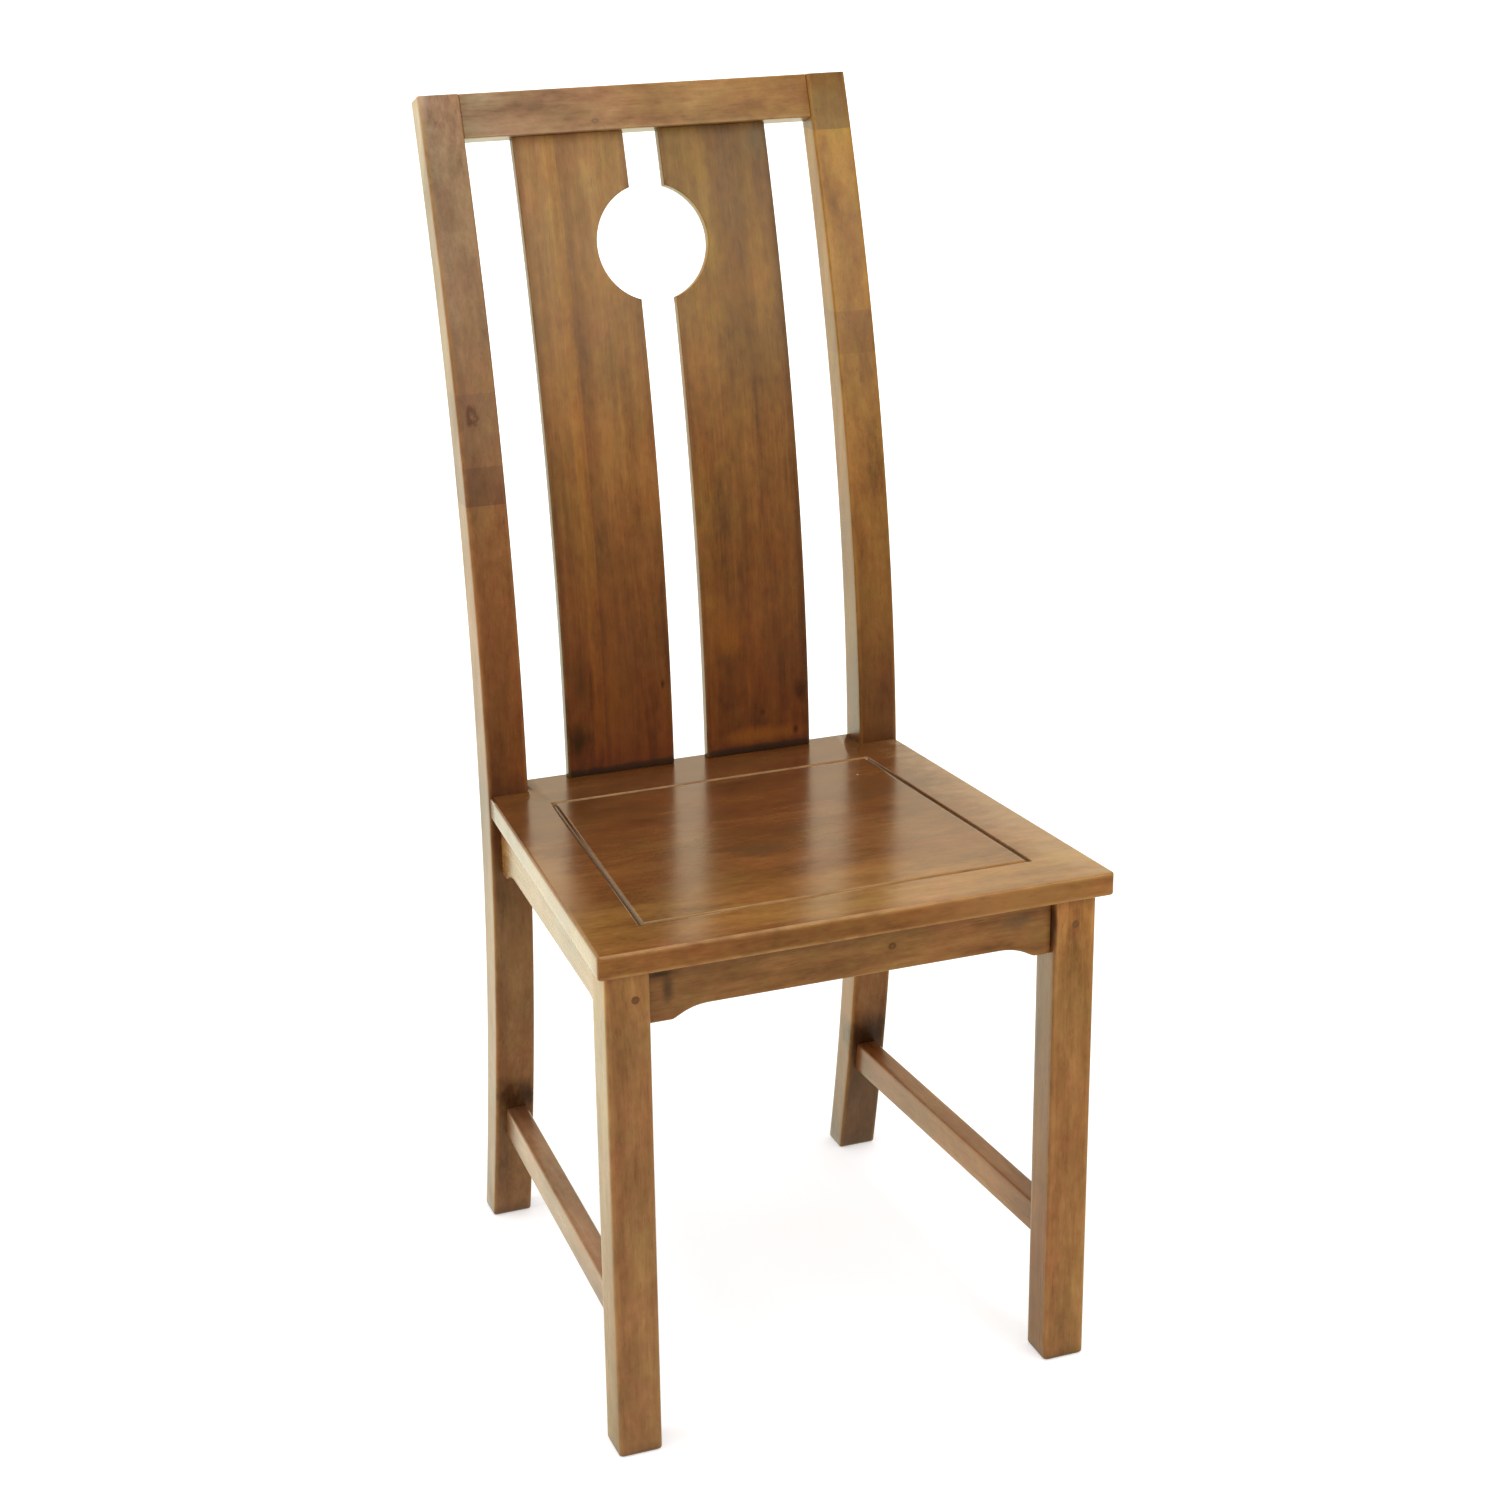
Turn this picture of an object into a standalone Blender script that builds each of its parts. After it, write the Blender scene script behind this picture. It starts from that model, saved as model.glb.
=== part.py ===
"""High-back dining chair in stained hardwood, one closed mesh for every wooden piece and every fastener.

Metres, +Z up, the front towards -Y. Left and right are as seen from the front, with left at -X.
The chair is modelled with its front legs upright and Y counted from the seat's front edge. The empty called
chair then leans it back, so that its four level-cut feet meet the floor, and centres it on the origin.
Left and right pieces come from one function that takes the side as -1 or +1.
"""

from math import atan, cos, pi, sin, tan

import bmesh
import bpy
from mathutils import Matrix, Vector
from mathutils.geometry import interpolate_bezier

# Clearances
GAP = 0.0003  # between two pieces that touch
OVERRUN = 0.004  # how far a cutter runs past what it cuts, and a tenon back into its own rail

# Seat board
SEAT_HEIGHT = 0.4518  # top of the seat at its front edge
SEAT_FALL = 0.006  # how much lower the rear edge lies
SEAT_DEPTH = 0.410
SEAT_FRONT_WIDTH = 0.440
SEAT_INSIDE_POSTS = 0.003  # how far its rear corners lie inside the posts' outer faces
SEAT_THICKNESS = 0.020
SEAT_CORNER_RADIUS = 0.0035
SEAT_ARRIS = 0.003
GROOVE_FRONT_INSET = 0.049
GROOVE_SIDE_INSET = 0.047
GROOVE_REAR_INSET = 0.068
GROOVE_WIDTH = 0.0045
GROOVE_DEPTH = 0.002

# Front legs
LEG_WIDTH = 0.037
LEG_DEPTH = 0.034
LEG_FRONT_SETBACK = 0.0135  # from the seat's front edge
LEG_SIDE_SETBACK = 0.0093  # from the seat's front corner
LEG_ARRIS = 0.003
FOOT_CHAMFER = 0.002

# Rear posts, whose front face follows two curves that meet at seat height
BACK_HEIGHT = 1.035
BACK_WIDTH = 0.390  # over the outer faces of the posts
POST_BEHIND_SEAT = 0.0015  # how far the post's rear face stands behind the seat's rear edge
POST_WIDTH = 0.0363
POST_DEPTH_FOOT = 0.027
POST_DEPTH_SEAT = 0.033
POST_DEPTH_TOP = 0.024
POST_ARRIS = 0.0025
FOOT_RAKE = 0.052  # how far the foot stands behind the post's face at seat height
REAR_FEET_CUT = 0.0057  # how much shorter the rear feet are cut, which leans the chair back
TOP_RAKE = 0.1222
FOOT_SLOPE = -0.235  # metres back for each metre up
MIDDLE_SLOPE = 0.036
TOP_SLOPE = 0.37

# Top rail
RAIL_HEIGHT = 0.0381
RAIL_THICKNESS = 0.0195
RAIL_SETBACK = 0.0015  # behind the posts' front faces
RAIL_ARRIS = 0.0015

# Splats, a pair of curved boards with one round opening sawn through both
SPLAT_WIDTH = 0.0997
SPLAT_THICKNESS = 0.009
SPLAT_SPACE = 0.032  # the slot between the two
SPLAT_SEAT_SETBACK = 0.0178  # behind the posts' front faces, at the seat
SPLAT_LOW_SLOPE = 0.029
SPLAT_HIGH_SLOPE = 0.333
SPLAT_ARRIS = 0.0009
KEYHOLE_DIAMETER = 0.1018
KEYHOLE_DROP = 0.1318  # of its centre below the top of the back

# Aprons, with ears that sweep down to the legs
APRON_HEIGHT = 0.0422
SIDE_APRON_HEIGHT = 0.0512  # at the seat's front edge; its lower edge is level while its top follows the seat
APRON_THICKNESS = 0.018
APRON_ARRIS = 0.0012
FRONT_EAR_DROP = 0.0094
SIDE_EAR_DROP = 0.0125
EAR_WIDTH = 0.0135
LEFT_EAR_EXTRA = 0.006  # how much wider the front apron's left ear is
EAR_RUN = 0.032  # length of the sweep
EAR_TIP_HANDLE = 0.004
EAR_ROOT_HANDLE = 0.020

# Side stretchers
STRETCHER_TOP = 0.1293
STRETCHER_HEIGHT = 0.029
STRETCHER_THICKNESS = 0.019
STRETCHER_ARRIS = 0.002

# Tenons and the pegs that pin them
TENON_THICKNESS = 0.008
TENON_SHOULDER = 0.008  # above and below an apron's tenon
TENON_WALL = 0.002  # wood left between two tenons in one leg
TENON_END_WALL = 0.012  # wood left beyond a long tenon
STRETCHER_SHOULDER = 0.004
STRETCHER_TENON = 0.016
RAIL_SHOULDER = 0.006
RAIL_TENON_THICKNESS = 0.010
SPLAT_TENON_THICKNESS = 0.0055
SPLAT_TENON = 0.014
SPLAT_SHOULDER = 0.008
PEG_DIAMETER = 0.0068
PEG_INWARD = {-1: 0.006, 1: 0}  # how far each peg sits from its leg's middle, towards the apron

# Corner blocks and their screws
BLOCK_NEAR = 0.028  # from the aprons' inner corner to the block's near edge
BLOCK_FAR = 0.060
BLOCK_HEIGHT = 0.030
SCREW_DIAMETER = 0.004
SCREW_HEAD_DIAMETER = 0.0078
SCREW_HEAD_HEIGHT = 0.0024
SCREW_POINT = 0.004
SCREW_BITE = 0.012  # length held by the apron or the seat
SCREW_RECESS = 0.005

# Facets
CURVE_STEPS = 14
SPLAT_STEPS = 18
EAR_STEPS = 9
ARRIS_STEPS = 2
ROUND_STEPS = 20
KEYHOLE_STEPS = 48

# Looks, as linear colour
WALNUT_STAIN = (0.255, 0.120, 0.045, 1.0)
RED_STAIN = (0.215, 0.090, 0.034, 1.0)
DARK_STAIN = (0.150, 0.062, 0.024, 1.0)
RAW_WOOD = (0.430, 0.270, 0.130, 1.0)
STEEL = (0.420, 0.410, 0.390, 1.0)
LACQUER_ROUGHNESS = 0.32
RAW_ROUGHNESS = 0.70
STEEL_ROUGHNESS = 0.38

SIDE_NAMES = {-1: "left", 1: "right"}

# Places worked out from the sizes above
UP = Vector((0, 0, 1))
BACK = Vector((0, 1, 0))
SEAT_SLOPE = SEAT_FALL / SEAT_DEPTH
FALL = Matrix(((1, 0, 0, 0), (0, 1, 0, 0), (0, -SEAT_SLOPE, 1, 0), (0, 0, 0, 1)))
SEAT_REAR_WIDTH = BACK_WIDTH - 2 * SEAT_INSIDE_POSTS
POST_SETBACK = SEAT_DEPTH + POST_BEHIND_SEAT - POST_DEPTH_SEAT
LEG_CENTRE_X = SEAT_FRONT_WIDTH / 2 - LEG_SIDE_SETBACK - LEG_WIDTH / 2
LEG_CENTRE_Y = LEG_FRONT_SETBACK + LEG_DEPTH / 2
LEG_REAR_Y = LEG_FRONT_SETBACK + LEG_DEPTH
LEG_FOOT = Vector((0, LEG_CENTRE_Y, 0))
POST_FOOT = Vector((0, POST_SETBACK + FOOT_RAKE + POST_DEPTH_FOOT / 2, REAR_FEET_CUT))
LEAN = atan(POST_FOOT.z / (POST_FOOT.y - LEG_FOOT.y))
FLOOR_UP = Vector((0, -sin(LEAN), cos(LEAN)))
POST_CENTRE_X = BACK_WIDTH / 2 - POST_WIDTH / 2
POST_INNER_X = BACK_WIDTH / 2 - POST_WIDTH
UNDERSIDE = SEAT_HEIGHT - SEAT_THICKNESS
APRON_TOP = UNDERSIDE - GAP
EAR_HEIGHT = APRON_HEIGHT + FRONT_EAR_DROP
APRON_MIDDLE_Z = APRON_TOP - EAR_HEIGHT / 2
STRETCHER_MIDDLE_Z = STRETCHER_TOP - STRETCHER_HEIGHT / 2
CAVITY = 2 * GAP  # a mortise is this much wider than its tenon


def clear_scene():
    """Remove every object that the open file holds."""
    for old in list(bpy.data.objects):
        bpy.data.objects.remove(old, do_unlink=True)


def stain(name, colour, roughness, metallic=0):
    """One Principled material."""
    look = bpy.data.materials.new(name)
    look.use_nodes = True
    shader = look.node_tree.nodes["Principled BSDF"]
    shader.inputs["Base Color"].default_value = colour
    shader.inputs["Roughness"].default_value = roughness
    shader.inputs["Metallic"].default_value = metallic
    return look


def add_object(name, bm):
    """Turn a bmesh into an object under the chair's empty."""
    bmesh.ops.recalc_face_normals(bm, faces=bm.faces)
    mesh = bpy.data.meshes.new(name)
    bm.to_mesh(mesh)
    bm.free()
    item = bpy.data.objects.new(name, mesh)
    bpy.context.collection.objects.link(item)
    item.parent = bpy.data.objects["chair"]
    return item


def piece(name, bm, colour=WALNUT_STAIN, roughness=LACQUER_ROUGHNESS, metallic=0):
    """A piece of the chair with a material of its own."""
    item = add_object(name, bm)
    item.data.materials.append(stain(name, colour, roughness, metallic))
    return item


def cutter(name, bm):
    """A tool body for booleans, shown as wire and never rendered."""
    item = add_object(name, bm)
    item.display_type = "WIRE"
    item.hide_render = True
    return item


def combine(target, tool, operation):
    """Add, or cut away, a tool body with an exact boolean."""
    step = target.modifiers.new(operation.title() + " " + tool.name, "BOOLEAN")
    step.operation = operation
    step.solver = "EXACT"
    step.object = tool


def prism(outline, along):
    """Closed solid swept from a flat outline by one vector."""
    bm = bmesh.new()
    face = bm.faces.new([bm.verts.new(point) for point in outline])
    swept = bmesh.ops.extrude_face_region(bm, geom=[face])
    moved = [item for item in swept["geom"] if isinstance(item, bmesh.types.BMVert)]
    bmesh.ops.translate(bm, verts=moved, vec=along)
    bmesh.ops.recalc_face_normals(bm, faces=bm.faces)
    return bm


def bar(frame, start, end, thick, high):
    """Box from start to end on the frame's X axis, centred on its Y and Z axes."""
    bm = bmesh.new()
    bmesh.ops.create_cube(bm, size=1)
    size = Matrix.Diagonal((end - start, thick, high, 1))
    middle = Matrix.Translation(((start + end) / 2, 0, 0))
    bmesh.ops.transform(bm, matrix=frame @ middle @ size, verts=bm.verts)
    return bm


def turned(frame, profile, steps=ROUND_STEPS):
    """Solid of revolution about the frame's X axis; its (along, radius) points start and end on the axis."""
    bm = bmesh.new()
    ring = [bm.verts.new((along, 0, radius)) for along, radius in profile]
    edges = [bm.edges.new(pair) for pair in zip(ring, ring[1:])]
    turn = dict(cent=(0, 0, 0), axis=(1, 0, 0), angle=2 * pi, steps=steps, use_merge=True)
    bmesh.ops.spin(bm, geom=ring + edges, **turn)
    bmesh.ops.remove_doubles(bm, verts=bm.verts, dist=GAP / 10)
    bmesh.ops.transform(bm, matrix=frame, verts=bm.verts)
    return bm


def frame_at(origin, along, up=UP):
    """Matrix whose X axis runs along the given direction and whose Z axis stays close to up."""
    x = along.normalized()
    y = up.cross(x).normalized()
    z = x.cross(y)
    turn = Matrix((x, y, z)).transposed().to_4x4()
    return Matrix.Translation(origin) @ turn


def ease(bm, radius, chosen, steps=ARRIS_STEPS):
    """Round the edges whose two ends pass the test."""
    edges = [edge for edge in bm.edges if chosen(*[vert.co for vert in edge.verts])]
    bmesh.ops.bevel(bm, geom=edges, offset=radius, segments=steps, profile=0.5, affect="EDGES")


def cut_foot(bm):
    """Cut a leg level with the floor that the leaning chair stands on, and chamfer its end."""
    trim(bm, LEG_FOOT, -FLOOR_UP)
    ease(bm, FOOT_CHAMFER, lambda a, b: max((end - LEG_FOOT).dot(FLOOR_UP) for end in (a, b)) < GAP, steps=1)


def trim(bm, point, outward):
    """Cut away what lies beyond a plane and close the cut."""
    whole = bm.verts[:] + bm.edges[:] + bm.faces[:]
    cut = bmesh.ops.bisect_plane(bm, geom=whole, plane_co=point, plane_no=outward, clear_outer=True)
    rim = [item for item in cut["geom_cut"] if isinstance(item, bmesh.types.BMEdge)]
    bmesh.ops.edgeloop_fill(bm, edges=rim)


def tenon(rail, socket, frame, length, thick, high):
    """Grow a tenon from a rail and cut its mortise, one gap wider all round, in the piece that receives it."""
    tongue = cutter("tongue_" + rail.name + "_" + socket.name, bar(frame, -OVERRUN, length, thick, high))
    combine(rail, tongue, "UNION")
    room = bar(frame, -OVERRUN, length + GAP, thick + CAVITY, high + CAVITY)
    combine(socket, cutter("mortise_" + rail.name + "_" + socket.name, room), "DIFFERENCE")


def seat_half_width(y):
    """Half the seat's width at a distance behind its front edge."""
    share = y / SEAT_DEPTH
    return (SEAT_FRONT_WIDTH + (SEAT_REAR_WIDTH - SEAT_FRONT_WIDTH) * share) / 2


def curve(low, high, low_slope, high_slope, steps):
    """Points from low to high in the YZ plane, leaving and arriving at the given slopes."""
    third = (high.z - low.z) / 3
    leave = low + Vector((0, low_slope * third, third))
    arrive = high - Vector((0, high_slope * third, third))
    return interpolate_bezier(low, leave, arrive, high, steps + 1)


def post_face():
    """Front face of a rear post from the floor to its top, seen from the side."""
    foot = Vector((0, POST_SETBACK + FOOT_RAKE, 0))
    middle = Vector((0, POST_SETBACK, SEAT_HEIGHT))
    top = Vector((0, POST_SETBACK + TOP_RAKE, BACK_HEIGHT))
    lower = curve(foot, middle, FOOT_SLOPE, MIDDLE_SLOPE, CURVE_STEPS)
    upper = curve(middle, top, MIDDLE_SLOPE, TOP_SLOPE, CURVE_STEPS)
    return lower + upper[1:]


def along_face(points, z):
    """Place and upward direction on a face curve at a height."""
    for low, high in zip(points, points[1:]):
        if low.z <= z <= high.z:
            share = (z - low.z) / (high.z - low.z)
            return low.lerp(high, share), (high - low).normalized()
    raise ValueError("the height lies outside the curve")


def rearward(direction):
    """Direction at a right angle to a face curve, towards the back."""
    return Vector((0, direction.z, -direction.y))


def side_of(points):
    """Direction of the curve at each of its points."""
    ends = [points[0]] + points + [points[-1]]
    return [(after - before).normalized() for before, after in zip(ends, ends[2:])]


def board_along(points, depths, x_from, x_to):
    """Board whose front face follows a curve, with a depth at every point of it."""
    rear = [point + rearward(way) * depth for point, way, depth in zip(points, side_of(points), depths)]
    outline = [Vector((x_from, point.y, point.z)) for point in points + rear[::-1]]
    return prism(outline, Vector((x_to - x_from, 0, 0)))


def runs_up(a, b):
    """Whether an edge runs mostly upwards along a post or a splat."""
    return abs(a.z - b.z) > abs(a.y - b.y) + abs(a.x - b.x)


def front_leg(side):
    """Straight square leg with eased arrises and a chamfered foot."""
    name = "front_leg_" + SIDE_NAMES[side]
    frame = frame_at(Vector((side * LEG_CENTRE_X, LEG_CENTRE_Y, 0)), UP, BACK)
    bm = bar(frame, -OVERRUN, SEAT_HEIGHT, LEG_WIDTH, LEG_DEPTH)
    ease(bm, LEG_ARRIS, runs_up)
    cut_foot(bm)
    trim(bm, FALL @ Vector((0, 0, APRON_TOP)), FALL.inverted().transposed().to_3x3() @ UP)
    return piece(name, bm)


def post_depths(points):
    """Depth of the post at each point of its face, least at its ends."""
    depths = []
    for point in points:
        rise = point.z - SEAT_HEIGHT
        if rise < 0:
            loss = (POST_DEPTH_FOOT - POST_DEPTH_SEAT) * -rise / SEAT_HEIGHT
        else:
            loss = (POST_DEPTH_TOP - POST_DEPTH_SEAT) * rise / (BACK_HEIGHT - SEAT_HEIGHT)
        depths.append(POST_DEPTH_SEAT + loss)
    return depths


def rear_post(side):
    """Rear leg and back upright in one curved piece, cut level at the floor and square at the top."""
    face = post_face()
    below = face[0] - Vector((0, FOOT_SLOPE, 1)) * POST_DEPTH_FOOT
    points = [below] + face[1:]
    depths = [POST_DEPTH_FOOT] + post_depths(face[1:])
    inner = side * POST_INNER_X
    bm = board_along(points, depths, inner, inner + side * POST_WIDTH)
    ease(bm, POST_ARRIS, runs_up)
    cut_foot(bm)
    top, way = face[-1], side_of(face)[-1]
    cap = top.dot(way) - POST_ARRIS
    outer = side * BACK_WIDTH / 2 - side * POST_ARRIS

    def on_cap(a, b):
        """Whether an edge lies on the end grain, away from the rail."""
        high = min(a.dot(way), b.dot(way)) > cap
        return high and (abs(a.x - b.x) > POST_ARRIS or min(side * a.x, side * b.x) > side * outer)

    ease(bm, POST_ARRIS / 2, on_cap, steps=1)
    return piece("rear_post_" + SIDE_NAMES[side], bm, RED_STAIN)


def seat_board():
    """Tapered board with eased edges and a groove routed round its top."""
    corners = ((-1, 0), (1, 0), (1, SEAT_DEPTH), (-1, SEAT_DEPTH))
    bm = prism([Vector((side * seat_half_width(y), y, UNDERSIDE)) for side, y in corners], UP * SEAT_THICKNESS)
    ease(bm, SEAT_CORNER_RADIUS, lambda a, b: abs(a.z - b.z) > GAP, steps=2 * ARRIS_STEPS)
    ease(bm, SEAT_ARRIS, lambda a, b: abs(a.z - b.z) < GAP, steps=ARRIS_STEPS + 1)
    bmesh.ops.transform(bm, matrix=FALL, verts=bm.verts)
    seat = piece("seat_board", bm)
    combine(seat, seat_groove(), "DIFFERENCE")
    return seat


def groove_ring(inset, z):
    """Corners of the grooved figure, moved inwards by an inset, at a height."""
    front = GROOVE_FRONT_INSET + inset
    rear = SEAT_DEPTH - GROOVE_REAR_INSET - inset
    wide = seat_half_width(front) - GROOVE_SIDE_INSET - inset
    narrow = seat_half_width(rear) - GROOVE_SIDE_INSET - inset
    places = [(-wide, front), (wide, front), (narrow, rear), (-narrow, rear)]
    return [Vector((x, y, z)) for x, y in places]


def seat_groove():
    """Cutter for the groove: a closed ring with a hollow-bottomed section."""
    bottom = SEAT_HEIGHT - GROOVE_DEPTH
    above = SEAT_HEIGHT + OVERRUN
    quarter = GROOVE_WIDTH / 4
    section = [(0, above), (0, SEAT_HEIGHT), (quarter, bottom)]
    section += [(GROOVE_WIDTH - inset, z) for inset, z in section[::-1]]
    bm = bmesh.new()
    rings = [[bm.verts.new(point) for point in groove_ring(*place)] for place in section]
    for ring, following in zip(rings, rings[1:] + rings[:1]):
        for index in range(len(ring)):
            after = (index + 1) % len(ring)
            bm.faces.new((ring[index], ring[after], following[after], following[index]))
    bmesh.ops.transform(bm, matrix=FALL, verts=bm.verts)
    return cutter("groove_seat_board", bm)


def notch_seat(seat, side):
    """Cut the seat's rear corner away round a post."""
    face = post_face()
    front = min(along_face(face, z)[0].y for z in (UNDERSIDE - SEAT_FALL, SEAT_HEIGHT)) - GAP
    inner = POST_INNER_X - GAP
    outer = SEAT_FRONT_WIDTH
    frame = frame_at(Vector((side * inner, (front + SEAT_DEPTH) / 2, SEAT_HEIGHT)), Vector((side, 0, 0)))
    width = SEAT_DEPTH - front
    room = bar(frame, 0, outer, width, 2 * SEAT_HEIGHT)
    rear = [vert for vert in room.verts if vert.co.y > front + width / 2]
    bmesh.ops.translate(room, verts=rear, vec=BACK * OVERRUN)
    combine(seat, cutter("notch_" + SIDE_NAMES[side], room), "DIFFERENCE")


def sweep(start, way, middle, drop):
    """Points of an ear's lower edge from its tip to the straight middle; way is +1 or -1."""
    tip = Vector((start, middle - drop, 0))
    root = Vector((start + way * EAR_RUN, middle, 0))
    leave = tip + Vector((way * EAR_TIP_HANDLE, 0, 0))
    arrive = root - Vector((way * EAR_ROOT_HANDLE, 0, 0))
    return [(point.x, point.y) for point in interpolate_bezier(tip, leave, arrive, root, EAR_STEPS + 1)]


def eared_outline(start, end, height, drop, extra=0):
    """Apron seen from its face, as high as given in the middle, with an ear at each end; extra widens the first."""
    middle = APRON_TOP - height
    foot = middle - drop
    ears = sweep(start + EAR_WIDTH + extra, 1, middle, drop) + sweep(end - EAR_WIDTH, -1, middle, drop)[::-1]
    return [(start, foot)] + ears + [(end, foot), (end, APRON_TOP), (start, APRON_TOP)]


def lower_arris(a, b):
    """Whether an edge follows an apron's lower edge."""
    level = APRON_TOP - GAP
    return max(a.z, b.z) < level and abs(a.x - b.x) + abs(a.y - b.y) > abs(a.z - b.z) and not crosses(a, b)


def crosses(a, b):
    """Whether an edge runs through the apron's thickness."""
    return abs((b - a).length - APRON_THICKNESS) < GAP and abs(a.z - b.z) < GAP


def front_apron():
    """Rail under the seat's front edge."""
    reach = LEG_CENTRE_X - LEG_WIDTH / 2 - GAP
    face = LEG_CENTRE_Y - APRON_THICKNESS / 2
    outline = eared_outline(-reach, reach, APRON_HEIGHT, FRONT_EAR_DROP, LEFT_EAR_EXTRA)
    bm = prism([Vector((x, face, z)) for x, z in outline], BACK * APRON_THICKNESS)
    ease(bm, APRON_ARRIS, lower_arris)
    bmesh.ops.transform(bm, matrix=FALL, verts=bm.verts)
    return piece("front_apron", bm)


def rear_apron_y():
    """Middle of the post's depth at the aprons' height, where the rear apron lies."""
    place, way = along_face(post_face(), APRON_MIDDLE_Z)
    return place.y + POST_DEPTH_SEAT / 2


def rear_apron():
    """Plain rail between the posts under the seat's rear edge."""
    reach = POST_INNER_X - GAP
    face = rear_apron_y() - APRON_THICKNESS / 2
    low = APRON_TOP - APRON_HEIGHT
    corners = [(-reach, low), (reach, low), (reach, APRON_TOP), (-reach, APRON_TOP)]
    bm = prism([Vector((x, face, z)) for x, z in corners], BACK * APRON_THICKNESS)
    ease(bm, APRON_ARRIS, lower_arris)
    bmesh.ops.transform(bm, matrix=FALL, verts=bm.verts)
    return piece("rear_apron", bm, DARK_STAIN)


def side_centre_x(y):
    """Centre line of the side rails, from the middle of the leg to the middle of the post."""
    rear = POST_SETBACK
    share = (y - LEG_REAR_Y) / (rear - LEG_REAR_Y)
    return LEG_CENTRE_X + (POST_CENTRE_X - LEG_CENTRE_X) * share


def side_rail(side, outline, thick):
    """Rail from a front leg to a rear post, given as a (y, z) outline."""
    points = [Vector((side * side_centre_x(y) - thick / 2, y, z)) for y, z in outline]
    return prism(points, Vector((thick, 0, 0)))


def fit_to_post(bm, height):
    """Cut a side rail's rear end to the slope of the post at a height."""
    place, way = along_face(post_face(), height)
    trim(bm, place - rearward(way) * GAP, rearward(way))


def side_apron(side):
    """Rail under the seat's side edge, with an ear at each end and a lower edge that stays level."""
    rear = along_face(post_face(), APRON_MIDDLE_Z)[0].y
    outline = []
    for y, z in eared_outline(LEG_REAR_Y + GAP, rear, SIDE_APRON_HEIGHT, SIDE_EAR_DROP):
        y += OVERRUN if y > rear - GAP else 0
        z += (SEAT_SLOPE + tan(LEAN)) * y if z < APRON_MIDDLE_Z else 0
        outline.append((y, z))
    bm = side_rail(side, outline, APRON_THICKNESS)
    ease(bm, APRON_ARRIS, lower_arris)
    fit_to_post(bm, APRON_MIDDLE_Z)
    bmesh.ops.transform(bm, matrix=FALL, verts=bm.verts)
    return piece("side_apron_" + SIDE_NAMES[side], bm)


def side_stretcher(side):
    """Low rail that ties a front leg to a rear post."""
    start = LEG_REAR_Y + GAP
    end = POST_SETBACK + FOOT_RAKE
    low = STRETCHER_TOP - STRETCHER_HEIGHT
    outline = [(start, low), (end, low), (end, STRETCHER_TOP), (start, STRETCHER_TOP)]
    bm = side_rail(side, outline, STRETCHER_THICKNESS)
    ease(bm, STRETCHER_ARRIS, lambda a, b: abs(a.y - b.y) > STRETCHER_HEIGHT)
    fit_to_post(bm, STRETCHER_MIDDLE_Z)
    return piece("side_stretcher_" + SIDE_NAMES[side], bm)


def top_frame():
    """Frame at the top rail's middle: X across the chair, Y rearwards through the rail, Z up along its face."""
    face = post_face()
    way = side_of(face)[-1]
    centre = face[-1] - way * (RAIL_HEIGHT / 2) + rearward(way) * (RAIL_SETBACK + RAIL_THICKNESS / 2)
    return frame_at(centre, Vector((1, 0, 0)), way)


def top_rail():
    """Rail between the posts, its face and top flush with theirs."""
    reach = POST_INNER_X - GAP
    bm = bar(top_frame(), -reach, reach, RAIL_THICKNESS, RAIL_HEIGHT)
    ease(bm, RAIL_ARRIS, lambda a, b: abs(a.x - b.x) > RAIL_HEIGHT)
    return piece("top_rail", bm)


def rail_underside():
    """Point on the top rail's lower face and the direction that looks up into it."""
    frame = top_frame()
    up = frame.to_3x3() @ UP
    return frame.translation - up * (RAIL_HEIGHT / 2), up


def splat_face():
    """Front face of the splats from the seat into the rail, seen from the side."""
    under, up = rail_underside()
    half = SPLAT_THICKNESS / 2
    low = Vector((0, POST_SETBACK + SPLAT_SEAT_SETBACK, SEAT_HEIGHT))
    high = under - rearward(up) * half
    return curve(low, Vector((0, high.y, high.z)), SPLAT_LOW_SLOPE, SPLAT_HIGH_SLOPE, SPLAT_STEPS)


def splat_centre_x(side):
    """Middle of one splat's width."""
    return side * (SPLAT_SPACE + SPLAT_WIDTH) / 2


def keyhole():
    """Cutter for the round opening, square to the splats at its centre."""
    place, way = along_face(splat_face(), BACK_HEIGHT - KEYHOLE_DROP)
    reach = SPLAT_THICKNESS + KEYHOLE_DIAMETER / 2
    radius = KEYHOLE_DIAMETER / 2
    frame = frame_at(place, rearward(way))
    bm = turned(frame, [(-reach, 0), (-reach, radius), (reach, radius), (reach, 0)], KEYHOLE_STEPS)
    return cutter("keyhole", bm)


def splat(side, opening):
    """Curved board of the back with half of the round opening in its inner edge."""
    face = splat_face()
    below = face[0] - Vector((0, SPLAT_LOW_SLOPE, 1)) * SEAT_THICKNESS
    above = face[-1] + Vector((0, SPLAT_HIGH_SLOPE, 1)) * SPLAT_THICKNESS
    points = [below] + face + [above]
    left = splat_centre_x(side) - SPLAT_WIDTH / 2
    bm = board_along(points, [SPLAT_THICKNESS] * len(points), left, left + SPLAT_WIDTH)
    seat_top = FALL @ Vector((0, 0, SEAT_HEIGHT + GAP))
    trim(bm, seat_top, -(FALL.inverted().transposed().to_3x3() @ UP))
    under, up = rail_underside()
    trim(bm, under - up * GAP, up)
    board = piece("splat_" + SIDE_NAMES[side], bm, RED_STAIN)
    combine(board, opening, "DIFFERENCE")
    soften = board.modifiers.new("Arris", "BEVEL")
    soften.width = SPLAT_ARRIS
    soften.segments = 1
    soften.limit_method = "ANGLE"
    soften.angle_limit = pi / 4
    return board


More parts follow.
